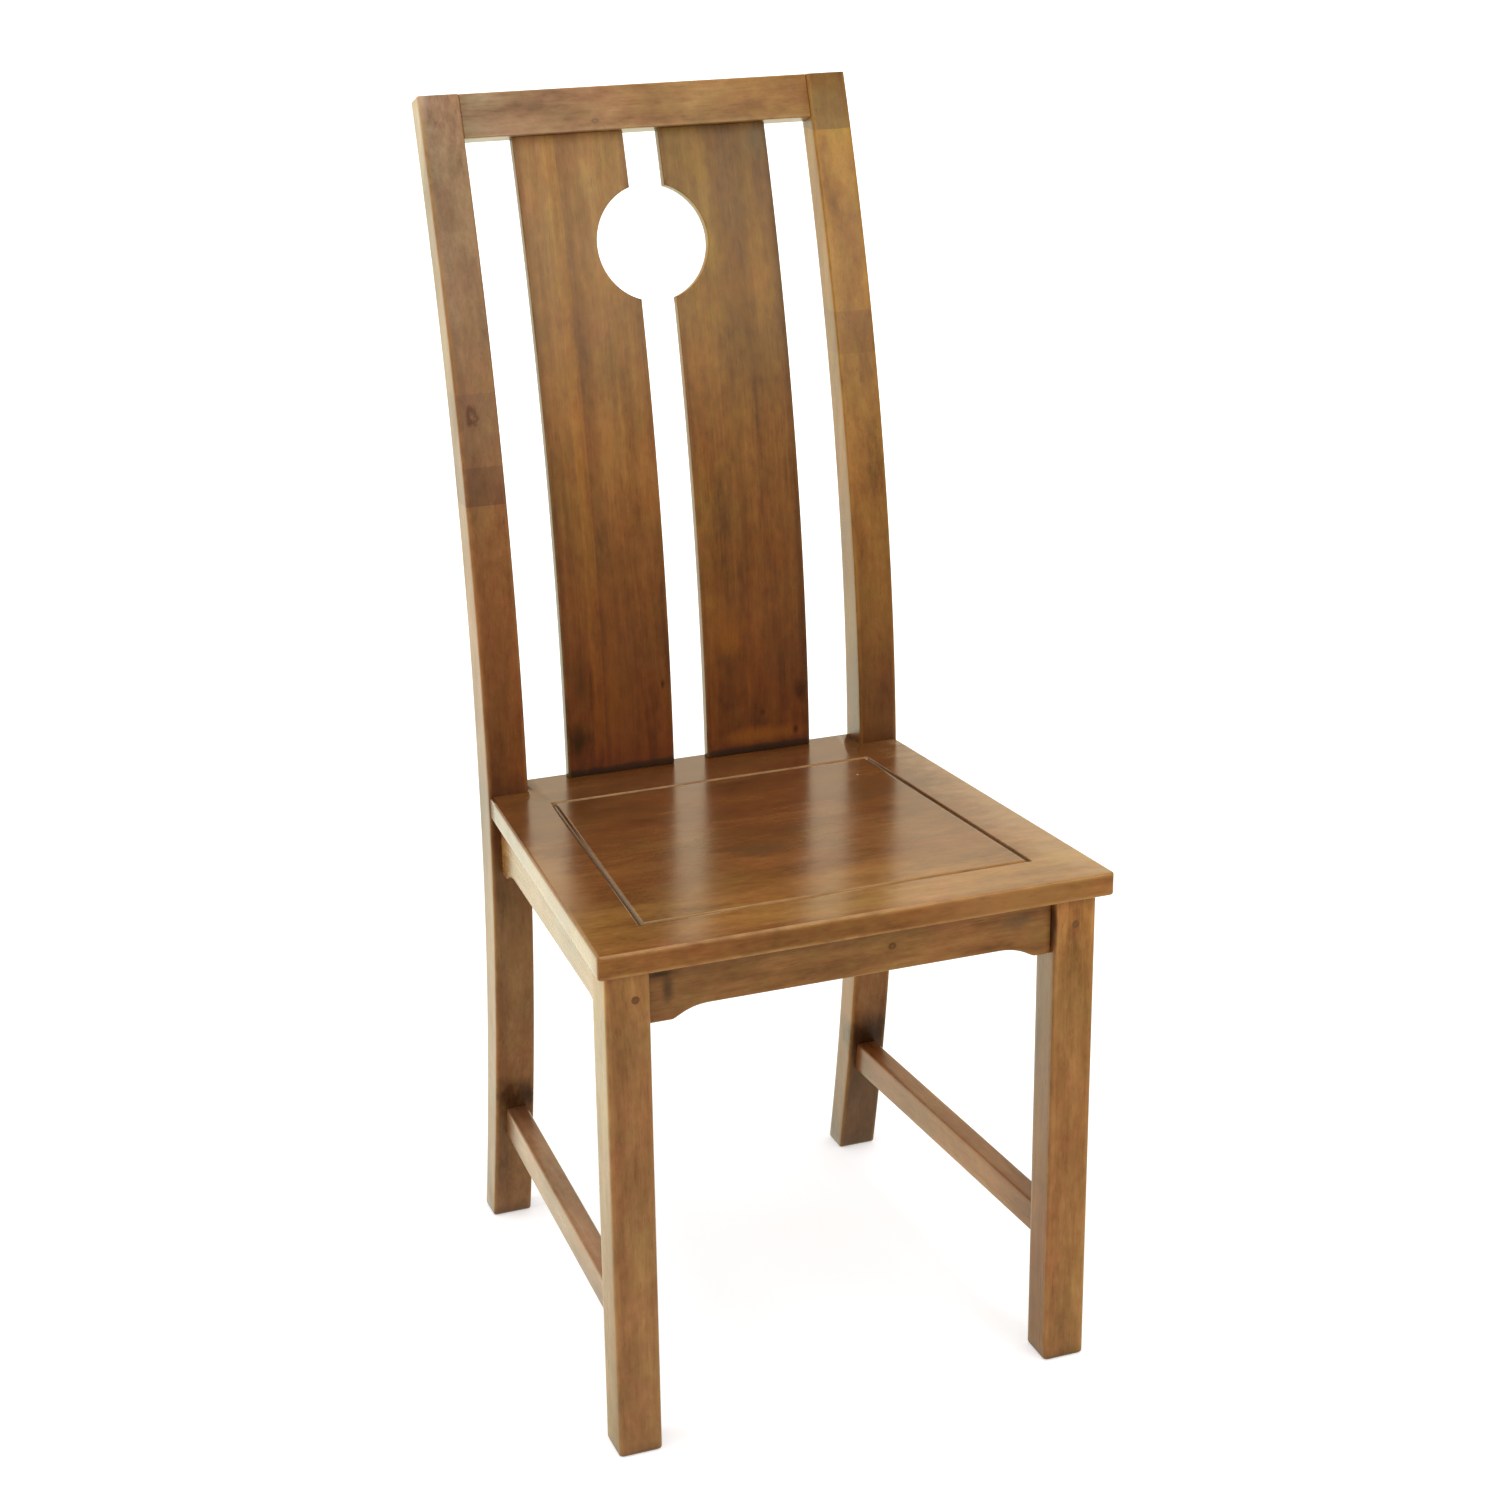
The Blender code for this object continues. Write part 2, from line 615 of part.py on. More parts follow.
def joint_aprons(front, rear, sides, legs, posts):
    """Long tenons for the front and rear aprons, stub tenons for the side aprons."""
    high = EAR_HEIGHT - 2 * TENON_SHOULDER
    rear_high = APRON_HEIGHT - 2 * TENON_SHOULDER
    stub_front = LEG_DEPTH / 2 - TENON_THICKNESS / 2 - TENON_WALL
    stub_rear = POST_DEPTH_SEAT / 2 - TENON_THICKNESS / 2 - TENON_WALL
    rear_middle_z = APRON_TOP - APRON_HEIGHT / 2
    post_front = along_face(post_face(), APRON_MIDDLE_Z)[0].y
    for side in SIDE_NAMES:
        out = Vector((side, 0, 0))
        inner = LEG_CENTRE_X - LEG_WIDTH / 2
        at_leg = frame_at(Vector((side * inner, LEG_CENTRE_Y, APRON_MIDDLE_Z)), out)
        tenon(front, legs[side], FALL @ at_leg, LEG_WIDTH - TENON_END_WALL, TENON_THICKNESS, high)
        at_post = frame_at(Vector((side * POST_INNER_X, rear_apron_y(), rear_middle_z)), out)
        tenon(rear, posts[side], FALL @ at_post, POST_WIDTH - TENON_END_WALL, TENON_THICKNESS, rear_high)
        ahead = frame_at(Vector((side * LEG_CENTRE_X, LEG_REAR_Y, APRON_MIDDLE_Z)), -BACK)
        tenon(sides[side], legs[side], FALL @ ahead, stub_front, TENON_THICKNESS, high)
        behind = frame_at(Vector((side * POST_CENTRE_X, post_front, APRON_MIDDLE_Z)), BACK)
        tenon(sides[side], posts[side], FALL @ behind, stub_rear, TENON_THICKNESS, high)


def joint_stretchers(stretchers, legs, posts):
    """Tenons at both ends of each side stretcher."""
    high = STRETCHER_HEIGHT - 2 * STRETCHER_SHOULDER
    post_front = along_face(post_face(), STRETCHER_MIDDLE_Z)[0].y
    for side, stretcher in stretchers.items():
        ahead = frame_at(Vector((side * LEG_CENTRE_X, LEG_REAR_Y, STRETCHER_MIDDLE_Z)), -BACK)
        tenon(stretcher, legs[side], ahead, STRETCHER_TENON, TENON_THICKNESS, high)
        x = side_centre_x(post_front)
        behind = frame_at(Vector((side * x, post_front, STRETCHER_MIDDLE_Z)), BACK)
        tenon(stretcher, posts[side], behind, STRETCHER_TENON, TENON_THICKNESS, high)


def joint_back(rail, splats, posts, seat):
    """Tenons of the top rail in the posts, and of the splats in the rail and the seat."""
    high = RAIL_HEIGHT - 2 * RAIL_SHOULDER
    frame = top_frame()
    up = (frame.to_3x3() @ UP).normalized()
    middle = frame.translation
    width = SPLAT_WIDTH - 2 * SPLAT_SHOULDER
    face = splat_face()
    half = SPLAT_THICKNESS / 2
    for side in SIDE_NAMES:
        at_post = frame_at(middle + Vector((side * POST_INNER_X, 0, 0)), Vector((side, 0, 0)), up)
        tenon(rail, posts[side], at_post, POST_WIDTH - TENON_END_WALL, RAIL_TENON_THICKNESS, high)
        across = Vector((splat_centre_x(side), 0, 0))
        way = (face[-1] - face[-2]).normalized()
        at_rail = frame_at(face[-1] + rearward(way) * half + across, way, Vector((1, 0, 0)))
        tenon(splats[side], rail, at_rail, SPLAT_TENON, SPLAT_TENON_THICKNESS, width)
        way = (face[1] - face[0]).normalized()
        seat_z = (FALL @ face[0]).z
        foot = Vector((0, face[0].y, seat_z)) + rearward(way) * half + across
        at_seat = frame_at(foot, -way, Vector((1, 0, 0)))
        tenon(splats[side], seat, at_seat, SPLAT_TENON, SPLAT_TENON_THICKNESS, width)


def tenon_peg(side, leg, apron):
    """Round peg through the leg's face and the front apron's tenon."""
    length = LEG_DEPTH / 2 + TENON_THICKNESS / 2
    radius = PEG_DIAMETER / 2
    x = LEG_CENTRE_X - PEG_INWARD[side]
    frame = FALL @ frame_at(Vector((side * x, LEG_FRONT_SETBACK, APRON_MIDDLE_Z)), BACK)
    solid = turned(frame, [(0, 0), (0, radius), (length, radius), (length, 0)])
    piece("tenon_peg_" + SIDE_NAMES[side], solid, DARK_STAIN)
    wide = radius + GAP
    bore = turned(frame, [(-OVERRUN, 0), (-OVERRUN, wide), (length + GAP, wide), (length + GAP, 0)])
    tool = cutter("bore_peg_" + SIDE_NAMES[side], bore)
    combine(leg, tool, "DIFFERENCE")
    combine(apron, tool, "DIFFERENCE")


def side_inner_x(y):
    """Inner face of the side aprons at a distance behind the seat's front edge."""
    slant = atan((LEG_CENTRE_X - POST_CENTRE_X) / (POST_SETBACK - LEG_REAR_Y))
    return side_centre_x(y) - APRON_THICKNESS / 2 - GAP / cos(slant)


def corner_block(end, side, wall, way):
    """Block glued across an inner corner; wall is the cross apron's face and way the direction away from it."""
    start = wall + way * GAP
    near, far = start + way * BLOCK_NEAR, start + way * BLOCK_FAR
    corner = side_inner_x(start)
    plan = [(corner - BLOCK_FAR, start), (corner - BLOCK_NEAR, start)]
    plan += [(side_inner_x(near), near), (side_inner_x(far), far)]
    low = APRON_TOP - BLOCK_HEIGHT
    bm = prism([Vector((side * x, y, low)) for x, y in plan], UP * BLOCK_HEIGHT)
    bmesh.ops.transform(bm, matrix=FALL, verts=bm.verts)
    return piece("corner_block_" + end + "_" + SIDE_NAMES[side], bm, RAW_WOOD, RAW_ROUGHNESS)


def screw(name, head, way, length, held):
    """Countersunk screw and its hole, cut from every piece that it passes through."""
    radius, head_radius = SCREW_DIAMETER / 2, SCREW_HEAD_DIAMETER / 2
    frame = FALL @ frame_at(head, way, BACK if abs(way.z) > abs(way.y) + abs(way.x) else UP)
    solid = [(0, 0), (0, head_radius), (SCREW_HEAD_HEIGHT, radius), (length - SCREW_POINT, radius), (length, 0)]
    piece(name, turned(frame, solid, ROUND_STEPS // 2), STEEL, STEEL_ROUGHNESS, metallic=1)
    wide, head_wide = radius + GAP, head_radius + GAP
    access = -(SCREW_RECESS + SCREW_HEAD_DIAMETER + OVERRUN)
    hole = [(access, 0), (access, head_wide), (GAP, head_wide), (SCREW_HEAD_HEIGHT + GAP, wide)]
    hole += [(length - SCREW_POINT, wide), (length + GAP, 0)]
    tool = cutter("hole_" + name, turned(frame, hole, ROUND_STEPS // 2))
    for item in held:
        combine(item, tool, "DIFFERENCE")


def fasten_block(end, side, block, cross, rail, seat, wall, way):
    """Two screws that hold a corner block to its aprons and one that holds the seat."""
    name = end + "_" + SIDE_NAMES[side]
    start = wall + way * GAP
    reach = (BLOCK_NEAR + BLOCK_FAR) / 2
    depth = (BLOCK_FAR - BLOCK_NEAR) / 2 - SCREW_RECESS
    length = depth + SCREW_BITE
    corner = side_inner_x(start)
    z = APRON_TOP - BLOCK_HEIGHT / 2
    into_cross = Vector((side * (corner - reach), start + way * depth, z))
    screw("screw_cross_" + name, into_cross, Vector((0, -way, 0)), length, (block, cross))
    y = start + way * reach
    into_side = Vector((side * (side_inner_x(y) - depth), y, z))
    screw("screw_side_" + name, into_side, Vector((side, 0, 0)), length, (block, rail))
    middle = reach / 2
    under = Vector((side * (corner - middle), start + way * middle, APRON_TOP - BLOCK_HEIGHT))
    screw("screw_seat_" + name, under, UP, BLOCK_HEIGHT + SCREW_BITE, (block, seat))


def build_chair():
    """Model every piece, then joint them from front to back."""
    clear_scene()
    chair = bpy.data.objects.new("chair", None)
    bpy.context.collection.objects.link(chair)
    chair.rotation_euler.x = -LEAN
    turn = Matrix.Rotation(-LEAN, 3, "X")
    front = turn @ Vector((0, 0, UNDERSIDE + SEAT_ARRIS))
    top = turn @ (post_face()[-1] + rearward(side_of(post_face())[-1]) * POST_DEPTH_TOP)
    chair.location = (0, -(front.y + top.y) / 2, -(turn @ LEG_FOOT).z)
    legs = {side: front_leg(side) for side in SIDE_NAMES}
    posts = {side: rear_post(side) for side in SIDE_NAMES}
    seat = seat_board()
    front, rear = front_apron(), rear_apron()
    sides = {side: side_apron(side) for side in SIDE_NAMES}
    stretchers = {side: side_stretcher(side) for side in SIDE_NAMES}
    rail = top_rail()
    opening = keyhole()
    splats = {side: splat(side, opening) for side in SIDE_NAMES}
    joint_aprons(front, rear, sides, legs, posts)
    joint_stretchers(stretchers, legs, posts)
    joint_back(rail, splats, posts, seat)
    front_wall = LEG_CENTRE_Y + APRON_THICKNESS / 2
    rear_wall = rear_apron_y() - APRON_THICKNESS / 2
    for side in SIDE_NAMES:
        notch_seat(seat, side)
        tenon_peg(side, legs[side], front)
        for end, cross, wall, way in (("front", front, front_wall, 1), ("rear", rear, rear_wall, -1)):
            block = corner_block(end, side, wall, way)
            fasten_block(end, side, block, cross, sides[side], seat, wall, way)


build_chair()
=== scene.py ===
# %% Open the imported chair
from math import atan, cos, radians, sin, tan

import bpy
import numpy as np
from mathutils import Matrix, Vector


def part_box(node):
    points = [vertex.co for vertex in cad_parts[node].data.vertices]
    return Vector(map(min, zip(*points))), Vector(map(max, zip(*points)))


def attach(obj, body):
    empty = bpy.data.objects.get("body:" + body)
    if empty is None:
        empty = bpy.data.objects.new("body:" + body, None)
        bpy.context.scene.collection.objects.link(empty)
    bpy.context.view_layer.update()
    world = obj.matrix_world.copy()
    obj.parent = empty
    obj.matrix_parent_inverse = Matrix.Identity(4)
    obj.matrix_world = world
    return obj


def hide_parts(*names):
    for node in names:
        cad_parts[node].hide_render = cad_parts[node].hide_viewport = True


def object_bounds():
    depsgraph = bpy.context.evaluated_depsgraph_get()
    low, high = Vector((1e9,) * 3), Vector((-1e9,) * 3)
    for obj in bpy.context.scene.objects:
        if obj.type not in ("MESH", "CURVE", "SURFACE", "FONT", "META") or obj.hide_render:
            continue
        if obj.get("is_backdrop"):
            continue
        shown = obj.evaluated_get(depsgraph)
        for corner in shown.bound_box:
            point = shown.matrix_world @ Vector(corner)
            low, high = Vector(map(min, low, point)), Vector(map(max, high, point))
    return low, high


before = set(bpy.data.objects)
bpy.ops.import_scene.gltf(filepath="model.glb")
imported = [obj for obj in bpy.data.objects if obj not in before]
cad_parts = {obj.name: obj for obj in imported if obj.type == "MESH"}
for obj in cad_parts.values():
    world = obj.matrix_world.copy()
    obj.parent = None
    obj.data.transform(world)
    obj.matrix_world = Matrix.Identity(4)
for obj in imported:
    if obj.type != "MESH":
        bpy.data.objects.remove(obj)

cad_low, cad_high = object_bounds()
print("packed chair, mm:", [round(1000 * (high - low), 1) for low, high in zip(cad_low, cad_high)])

# %% [markdown]
# A wooden side chair with a high back. Every board of it is a bar whose section changes along its length, so one
# function, a rounded rectangle carried along a path, makes legs, posts, splats, rails and aprons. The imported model
# says where each one goes. The new skins add what flat faces can't show: arrises that are really round, curves
# without facets, and a note on every vertex of where it lay in the timber, which the wood pattern reads.

# %% [markdown]
# The camera comes first, because everything else is judged through it. Its place was solved from the edges of the
# chair: a long lens, a little above the seat, to the left of the middle, with a slight roll.

# %% Camera
SENSOR, LENS = 36.0, 67.731
CAMERA_PLACE = (-0.811956, -2.131158, 1.353234)
CAMERA_DEGREES = (69.2926, 0.4087, -21.2998)
camera = bpy.data.objects.new("camera", bpy.data.cameras.new("camera"))
camera.data.sensor_width, camera.data.lens = SENSOR, LENS
camera.location = CAMERA_PLACE
camera.rotation_euler = [radians(turn) for turn in CAMERA_DEGREES]
bpy.context.scene.collection.objects.link(camera)
bpy.context.scene.camera = camera
print("camera", [round(place, 3) for place in camera.location], "lens", LENS, "mm")

# %% [markdown]
# The chair is drawn upright, with the distance back counted from the seat's front edge, and then leaned. The rear
# feet are cut shorter than the front ones, so the real chair stands with its legs tipped back by under a degree.
# Turning whole arrays of points at once keeps every board square to its neighbours while it is being worked out.

# %% The lean
REAR_FEET_CUT = 0.0057
LEG_CENTRE_Y = 0.0305
POST_FOOT_Y = 0.444
LEAN = atan(REAR_FEET_CUT / (POST_FOOT_Y - LEG_CENTRE_Y))
PLACE = np.array([0.0, -0.271691, 0.00042])
SEAT_FALL, SEAT_DEPTH = 0.006, 0.410
SEAT_SLOPE = SEAT_FALL / SEAT_DEPTH


def lean(points):
    """Upright chair to floor: turned about the X axis by the lean, then moved to its place.

    The new depth is y times the cosine plus z times the sine, and the new height is z times the cosine less y
    times the sine.
    """
    x, y, z = np.moveaxis(np.asarray(points, float), -1, 0)
    turned = np.stack([x, y * cos(LEAN) + z * sin(LEAN), z * cos(LEAN) - y * sin(LEAN)], axis=-1)
    return turned + PLACE


print("lean, degrees:", round(np.degrees(LEAN), 3))

# %% [markdown]
# A board's section is a rectangle with round corners. Around it go, for each corner, a shoulder point on the flat, the
# points of a quarter circle, and a shoulder on the next flat. The shoulders keep the flats flat when the shading is
# smoothed, and let wear be strong on the arris and gone a few millimetres away.

# %% The section
ARC_STEPS = 4
SHOULDER = 0.0035
CORNERS = ((1, 1), (-1, 1), (-1, -1), (1, -1))
corner_signs, corner_angles, corner_slides = [], [], []
for turn, signs in enumerate(CORNERS):
    arc = np.linspace(0, np.pi / 2, ARC_STEPS + 1) + turn * np.pi / 2
    corner_angles += [arc[0], *arc, arc[-1]]
    corner_slides += [-1, *[0] * (ARC_STEPS + 1), 1]
    corner_signs += [signs] * (ARC_STEPS + 3)
SIGNS = np.array(corner_signs, float)
ANGLES = np.array(corner_angles)
SLIDES = np.array(corner_slides, float)


def section(half_wide, half_deep, radius):
    """Points of the rounded rectangle for every station, as two arrays of station by point.

    A point is its corner's centre plus the radius times the cosine and sine of its angle. A shoulder point then
    slides back or on along the tangent, but never past the middle of its side.
    """
    size = np.stack([half_wide, half_deep], axis=-1)[:, None, :]
    radius = np.minimum(radius, 0.9 * size.min(axis=(1, 2)))[:, None, None]
    around = np.stack([np.cos(ANGLES), np.sin(ANGLES)], axis=-1)[None]
    tangent = np.stack([-np.sin(ANGLES), np.cos(ANGLES)], axis=-1)[None]
    slide = np.minimum(SHOULDER, 0.8 * (size - radius))
    points = SIGNS[None] * (size - radius) + radius * around + SLIDES[None, :, None] * tangent * slide
    return points[..., 0], points[..., 1]


ON_ARRIS = (SLIDES == 0).astype(float)
print("points in a section:", len(ANGLES))

# %% [markdown]
# The ends are rounded too, by a quarter circle that shrinks the section as it nears the end. A saw leaves a sharp end
# and sandpaper takes the corner off, so a leg's foot gets a real chamfer and a rail's hidden end only a hair.

# %% The stations along a board
END_STEPS = 3


def stations(places, start_ease, end_ease):
    """Distances along a board and how much the section shrinks there, with both ends rounded.

    On the rounding, the distance from the end is the ease less its cosine part, and the shrink is the ease less its
    sine part. The first and last stations lie on the end grain itself, a shoulder further in.
    """
    turn = np.linspace(0, np.pi / 2, END_STEPS + 1)
    start, end = places[0], places[-1]
    first = np.concatenate([[0], start_ease * (1 - np.cos(turn))])
    first_shrink = np.concatenate([[start_ease + SHOULDER], start_ease * (1 - np.sin(turn))])
    last = np.concatenate([end_ease * (1 - np.cos(turn[::-1])), [0]])
    last_shrink = np.concatenate([end_ease * (1 - np.sin(turn[::-1])), [end_ease + SHOULDER]])
    inner = places[(places > start + start_ease + 1e-6) & (places < end - end_ease - 1e-6)]
    along = np.concatenate([start + first, inner, end - last])
    shrink = np.concatenate([first_shrink, np.zeros(len(inner)), last_shrink])
    return along, shrink


def smooth(share):
    """Zero below 0, one above 1, and three times the square less twice the cube between them."""
    share = np.clip(share, 0, 1)
    return share * share * (3 - 2 * share)


# %% [markdown]
# One function turns stations and sections into a mesh. Each vertex also keeps its place in the timber: across, through
# and along the grain. The pattern of the wood is solid, so a curved post shows the grain running out of its edges as
# a sawn post does, and end grain shows where the board is cut off.

# %% A skin from a grid of points
made = {}


def skin(name, points, timber, wear, endgrain, node):
    """Mesh from a grid of rings by points: quads between the rings, and one face on each end."""
    rings, count = points.shape[:2]
    index = np.arange(rings * count).reshape(rings, count)
    near, far = index[:-1], index[1:]
    quads = np.stack([near, np.roll(near, -1, 1), np.roll(far, -1, 1), far], axis=-1).reshape(-1, 4)
    faces = [*quads.tolist(), index[0][::-1].tolist(), index[-1].tolist()]
    mesh = bpy.data.meshes.new(name)
    mesh.from_pydata(points.reshape(-1, 3).tolist(), [], faces)
    mesh.polygons.foreach_set("use_smooth", np.ones(len(faces), bool))
    for key, values in (("timber", timber), ("wear", wear), ("endgrain", endgrain)):
        kind, field = ("FLOAT_VECTOR", "vector") if key == "timber" else ("FLOAT", "value")
        layer = mesh.attributes.new(key, kind, "POINT")
        layer.data.foreach_set(field, values.reshape(-1).astype(np.float32))
    mesh.update()
    item = bpy.data.objects.new(name, mesh)
    bpy.context.scene.collection.objects.link(item)
    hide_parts(node)
    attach(item, "root")
    made[name] = item
    low, high = points.reshape(-1, 3).min(0), points.reshape(-1, 3).max(0)
    packed_low, packed_high = np.array(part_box(node))
    off = 1000 * np.array([packed_low - low, high - packed_high])
    print(f"{name}: {len(mesh.vertices)} vertices, off the packed box by {off.max():+.2f} to {off.min():+.2f} mm")


RUB_LIMIT = 0.01
ENDGRAIN_SHARE = 0.3


def board(name, centre, wide, deep, half_wide, half_deep, arris, along, shrink, grain, node, slot, finish=None):
    """Skin of one board: at each station, the centre plus the section's points along its two directions.

    The directions and half sizes are given once for the whole board or once for each station. grain holds the three
    directions of the plank it was sawn from: across, through and along the grain. A bent board has none, and its
    grain follows the curve. finish may shift the upright points before they are leaned, such as to cut an end at a
    slope.
    """
    across, through = section(half_wide - shrink, half_deep - shrink, arris)
    wide, deep = (np.atleast_2d(way)[:, None, :] for way in (wide, deep))
    points = centre[:, None, :] + across[..., None] * wide + through[..., None] * deep
    if grain is None:
        timber = np.stack([points[..., 0], through, np.broadcast_to(along[:, None], across.shape)], axis=-1)
    else:
        timber = points @ np.array(grain).T
    if finish is not None:
        points = finish(points)
    on_end = (shrink > 0).astype(float)[:, None]
    at_end = np.minimum(on_end, (shrink < SHOULDER)[:, None])
    wear = np.maximum(ON_ARRIS[None, :] * (shrink[:, None] < RUB_LIMIT), at_end)
    cut = (shrink > ENDGRAIN_SHARE * shrink.max()).astype(float)
    endgrain = np.broadcast_to(cut[:, None], across.shape)
    skin(name, lean(points), timber, wear, endgrain, node)


X, Y, Z = np.eye(3)
SIDES = {"left": -1, "right": 1}

# %% [markdown]
# The front legs are straight and square. They stand under the seat's front corners. The foot is cut level with the
# floor and the top follows the fall of the seat, so the two ends are sheared while the sides stay upright.

# %% Front legs
LEG_WIDTH = 0.037
LEG_DEPTH = 0.034
LEG_CENTRE_X = 0.1922
LEG_ARRIS = 0.003
FOOT_CHAMFER = 0.003
APRON_TOP = 0.4315
END_EASE = 0.0004
STRAIGHT_STATIONS = 24
SHEAR_REACH = 0.1


def front_leg(side):
    """Straight bar from floor to seat.

    Near the foot z rises with y by the tangent of the lean, and at the top it falls with y by the seat's slope.
    """
    top = APRON_TOP - SEAT_SLOPE * LEG_CENTRE_Y
    along, shrink = stations(np.linspace(0, top, STRAIGHT_STATIONS), FOOT_CHAMFER, END_EASE)
    centre = np.array([SIDES[side] * LEG_CENTRE_X, LEG_CENTRE_Y, 0]) + along[:, None] * Z

    def cut_ends(points):
        back = points[..., 1] - LEG_CENTRE_Y
        foot = 1 - smooth(along / SHEAR_REACH)[:, None]
        head = smooth((along - top + SHEAR_REACH) / SHEAR_REACH)[:, None]
        points[..., 2] += back * (foot * tan(LEAN) - head * SEAT_SLOPE)
        return points

    board("leg_front_" + side, centre, X, Y, LEG_WIDTH / 2, LEG_DEPTH / 2, LEG_ARRIS, along, shrink, (X, Y, Z),
          "front_leg_" + side, "frame_wood", cut_ends)


for side in SIDES:
    front_leg(side)

# %% [markdown]
# Each rear post is leg and back upright in one piece, sawn to a curve from a thick plank. Its front face is drawn as
# two cubics of the height that meet at the seat with the same slope. The depth is greatest at the seat and tapers to
# both ends. Sections stand square to the curve, except at the foot, where they turn level with the floor.

# %% Rear posts
SEAT_HEIGHT = 0.4518
BACK_HEIGHT = 1.035
POST_SETBACK = 0.3785
FOOT_RAKE = 0.052
TOP_RAKE = 0.1222
FOOT_SLOPE, MIDDLE_SLOPE, TOP_SLOPE = -0.235, 0.036, 0.37
POST_WIDTH = 0.0363
POST_CENTRE_X = 0.17685
POST_DEPTHS = (0.027, 0.033, 0.024)
POST_ARRIS = 0.0019
POST_TOP_EASE = 0.0009
POST_STATIONS = 64
FOOT_TURN, TOP_TURN = 0.06, 0.05


def bezier(t, a, b, c, d):
    """Cubic curve through a and d that b and c pull: the sum of the four, each times its share.

    With t from 0 to 1 along it, the shares are (1-t)^3, 3(1-t)^2 t, 3(1-t) t^2 and t^3.
    """
    return a * (1 - t) ** 3 + 3 * b * (1 - t) ** 2 * t + 3 * c * (1 - t) * t**2 + d * t**3


def cubic(z, low, high, y_low, y_high, slope_low, slope_high):
    """Distance back at a height, and its slope: the cubic curve with the given ends and end slopes.

    The two values that pull it are the ends moved a third of the height along their slopes.
    """
    rise = high - low
    t = (z - low) / rise
    a, b, c, d = y_low, y_low + slope_low * rise / 3, y_high - slope_high * rise / 3, y_high
    slope = 3 * ((b - a) * (1 - t) ** 2 + 2 * (c - b) * (1 - t) * t + (d - c) * t**2) / rise
    return bezier(t, a, b, c, d), slope


def post_face(z):
    """Front face of a post: the lower cubic up to the seat and the upper cubic above it."""
    lower = cubic(z, 0, SEAT_HEIGHT, POST_SETBACK + FOOT_RAKE, POST_SETBACK, FOOT_SLOPE, MIDDLE_SLOPE)
    upper = cubic(z, SEAT_HEIGHT, BACK_HEIGHT, POST_SETBACK, POST_SETBACK + TOP_RAKE, MIDDLE_SLOPE, TOP_SLOPE)
    below = z < SEAT_HEIGHT
    return np.where(below, lower[0], upper[0]), np.where(below, lower[1], upper[1])


def through_board(slope, low_cut, low_share, high_cut, high_share):
    """Direction back through the board at each station, and how much it leans from square.

    It is square to the curve, and near an end it turns to that end's cut by a given share.
    """
    square = np.stack([0 * slope, np.ones_like(slope), -slope], axis=-1)
    square /= np.linalg.norm(square, axis=-1, keepdims=True)
    low_share, high_share = low_share[:, None], high_share[:, None]
    mixed = square * (1 - low_share - high_share) + low_cut * low_share + high_cut * high_share
    mixed /= np.linalg.norm(mixed, axis=-1, keepdims=True)
    return mixed, (mixed * square).sum(-1)


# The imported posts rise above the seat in 14 straight steps, and the rail leans with the last of them.
PACKED_POST_STEPS = 14
last_step = (BACK_HEIGHT - SEAT_HEIGHT) / PACKED_POST_STEPS
last_y, _ = post_face(np.array([BACK_HEIGHT - last_step, BACK_HEIGHT]))
TOP_UP = np.array([0, last_y[1] - last_y[0], last_step])
TOP_UP /= np.linalg.norm(TOP_UP)
TOP_BACK = np.array([0, TOP_UP[2], -TOP_UP[1]])
print("the top leans back, degrees:", round(np.degrees(atan(TOP_UP[1] / TOP_UP[2])), 1))


def rear_post(side):
    """Face curve plus half the depth, with the depth falling in a straight line from the seat to each end."""
    floor_cut = np.array([0, cos(LEAN), sin(LEAN)])
    foot = REAR_FEET_CUT
    for _ in range(4):
        foot = REAR_FEET_CUT + tan(LEAN) * (post_face(foot)[0] - POST_FOOT_Y)
    z, shrink = stations(np.linspace(foot, BACK_HEIGHT, POST_STATIONS), FOOT_CHAMFER, POST_TOP_EASE)
    y, slope = post_face(z)
    level = 1 - smooth((z - foot - FOOT_CHAMFER) / FOOT_TURN)
    top_level = smooth((z - BACK_HEIGHT + TOP_TURN) / TOP_TURN)
    deep, squareness = through_board(slope, floor_cut, level, TOP_BACK, top_level)
    depth = np.interp(z, [0, SEAT_HEIGHT, BACK_HEIGHT], POST_DEPTHS)
    half = depth / 2 / squareness
    centre = np.column_stack([0 * z + SIDES[side] * POST_CENTRE_X, y, z]) + deep * half[:, None]
    board("post_rear_" + side, centre, X, deep, POST_WIDTH / 2, half, POST_ARRIS, z, shrink, (X, Y, Z),
          "rear_post_" + side, "back_wood")


for side in SIDES:
    rear_post(side)

# %% [markdown]
# The top rail lies between the posts and leans with them. It is a plain straight bar. Its face stands a millimetre
# and a half behind the posts' faces, which gives the thin shadow lines at its two ends.

# %% Top rail
RAIL_HEIGHT = 0.0381
RAIL_THICKNESS = 0.0195
RAIL_SETBACK = 0.0015
RAIL_ARRIS = 0.001
RAIL_REACH = 0.1584
RAIL_CENTRE = (np.array([0, last_y[1], BACK_HEIGHT]) - TOP_UP * RAIL_HEIGHT / 2
               + TOP_BACK * (RAIL_SETBACK + RAIL_THICKNESS / 2))
along, shrink = stations(np.linspace(-RAIL_REACH, RAIL_REACH, STRAIGHT_STATIONS), END_EASE, END_EASE)
board("rail_top", RAIL_CENTRE + along[:, None] * X, TOP_BACK, TOP_UP, RAIL_THICKNESS / 2, RAIL_HEIGHT / 2,
      RAIL_ARRIS, along, shrink, (TOP_BACK, TOP_UP, X), "top_rail", "frame_wood")

# %% [markdown]
# The two splats are thin curved boards. The round opening is sawn through both, so each board's inner edge follows a
# circle for part of its length. Measured up the curve, the edge is a plain function: the distance from the middle of
# the chair is half the slot, or the circle's half chord where that is more.

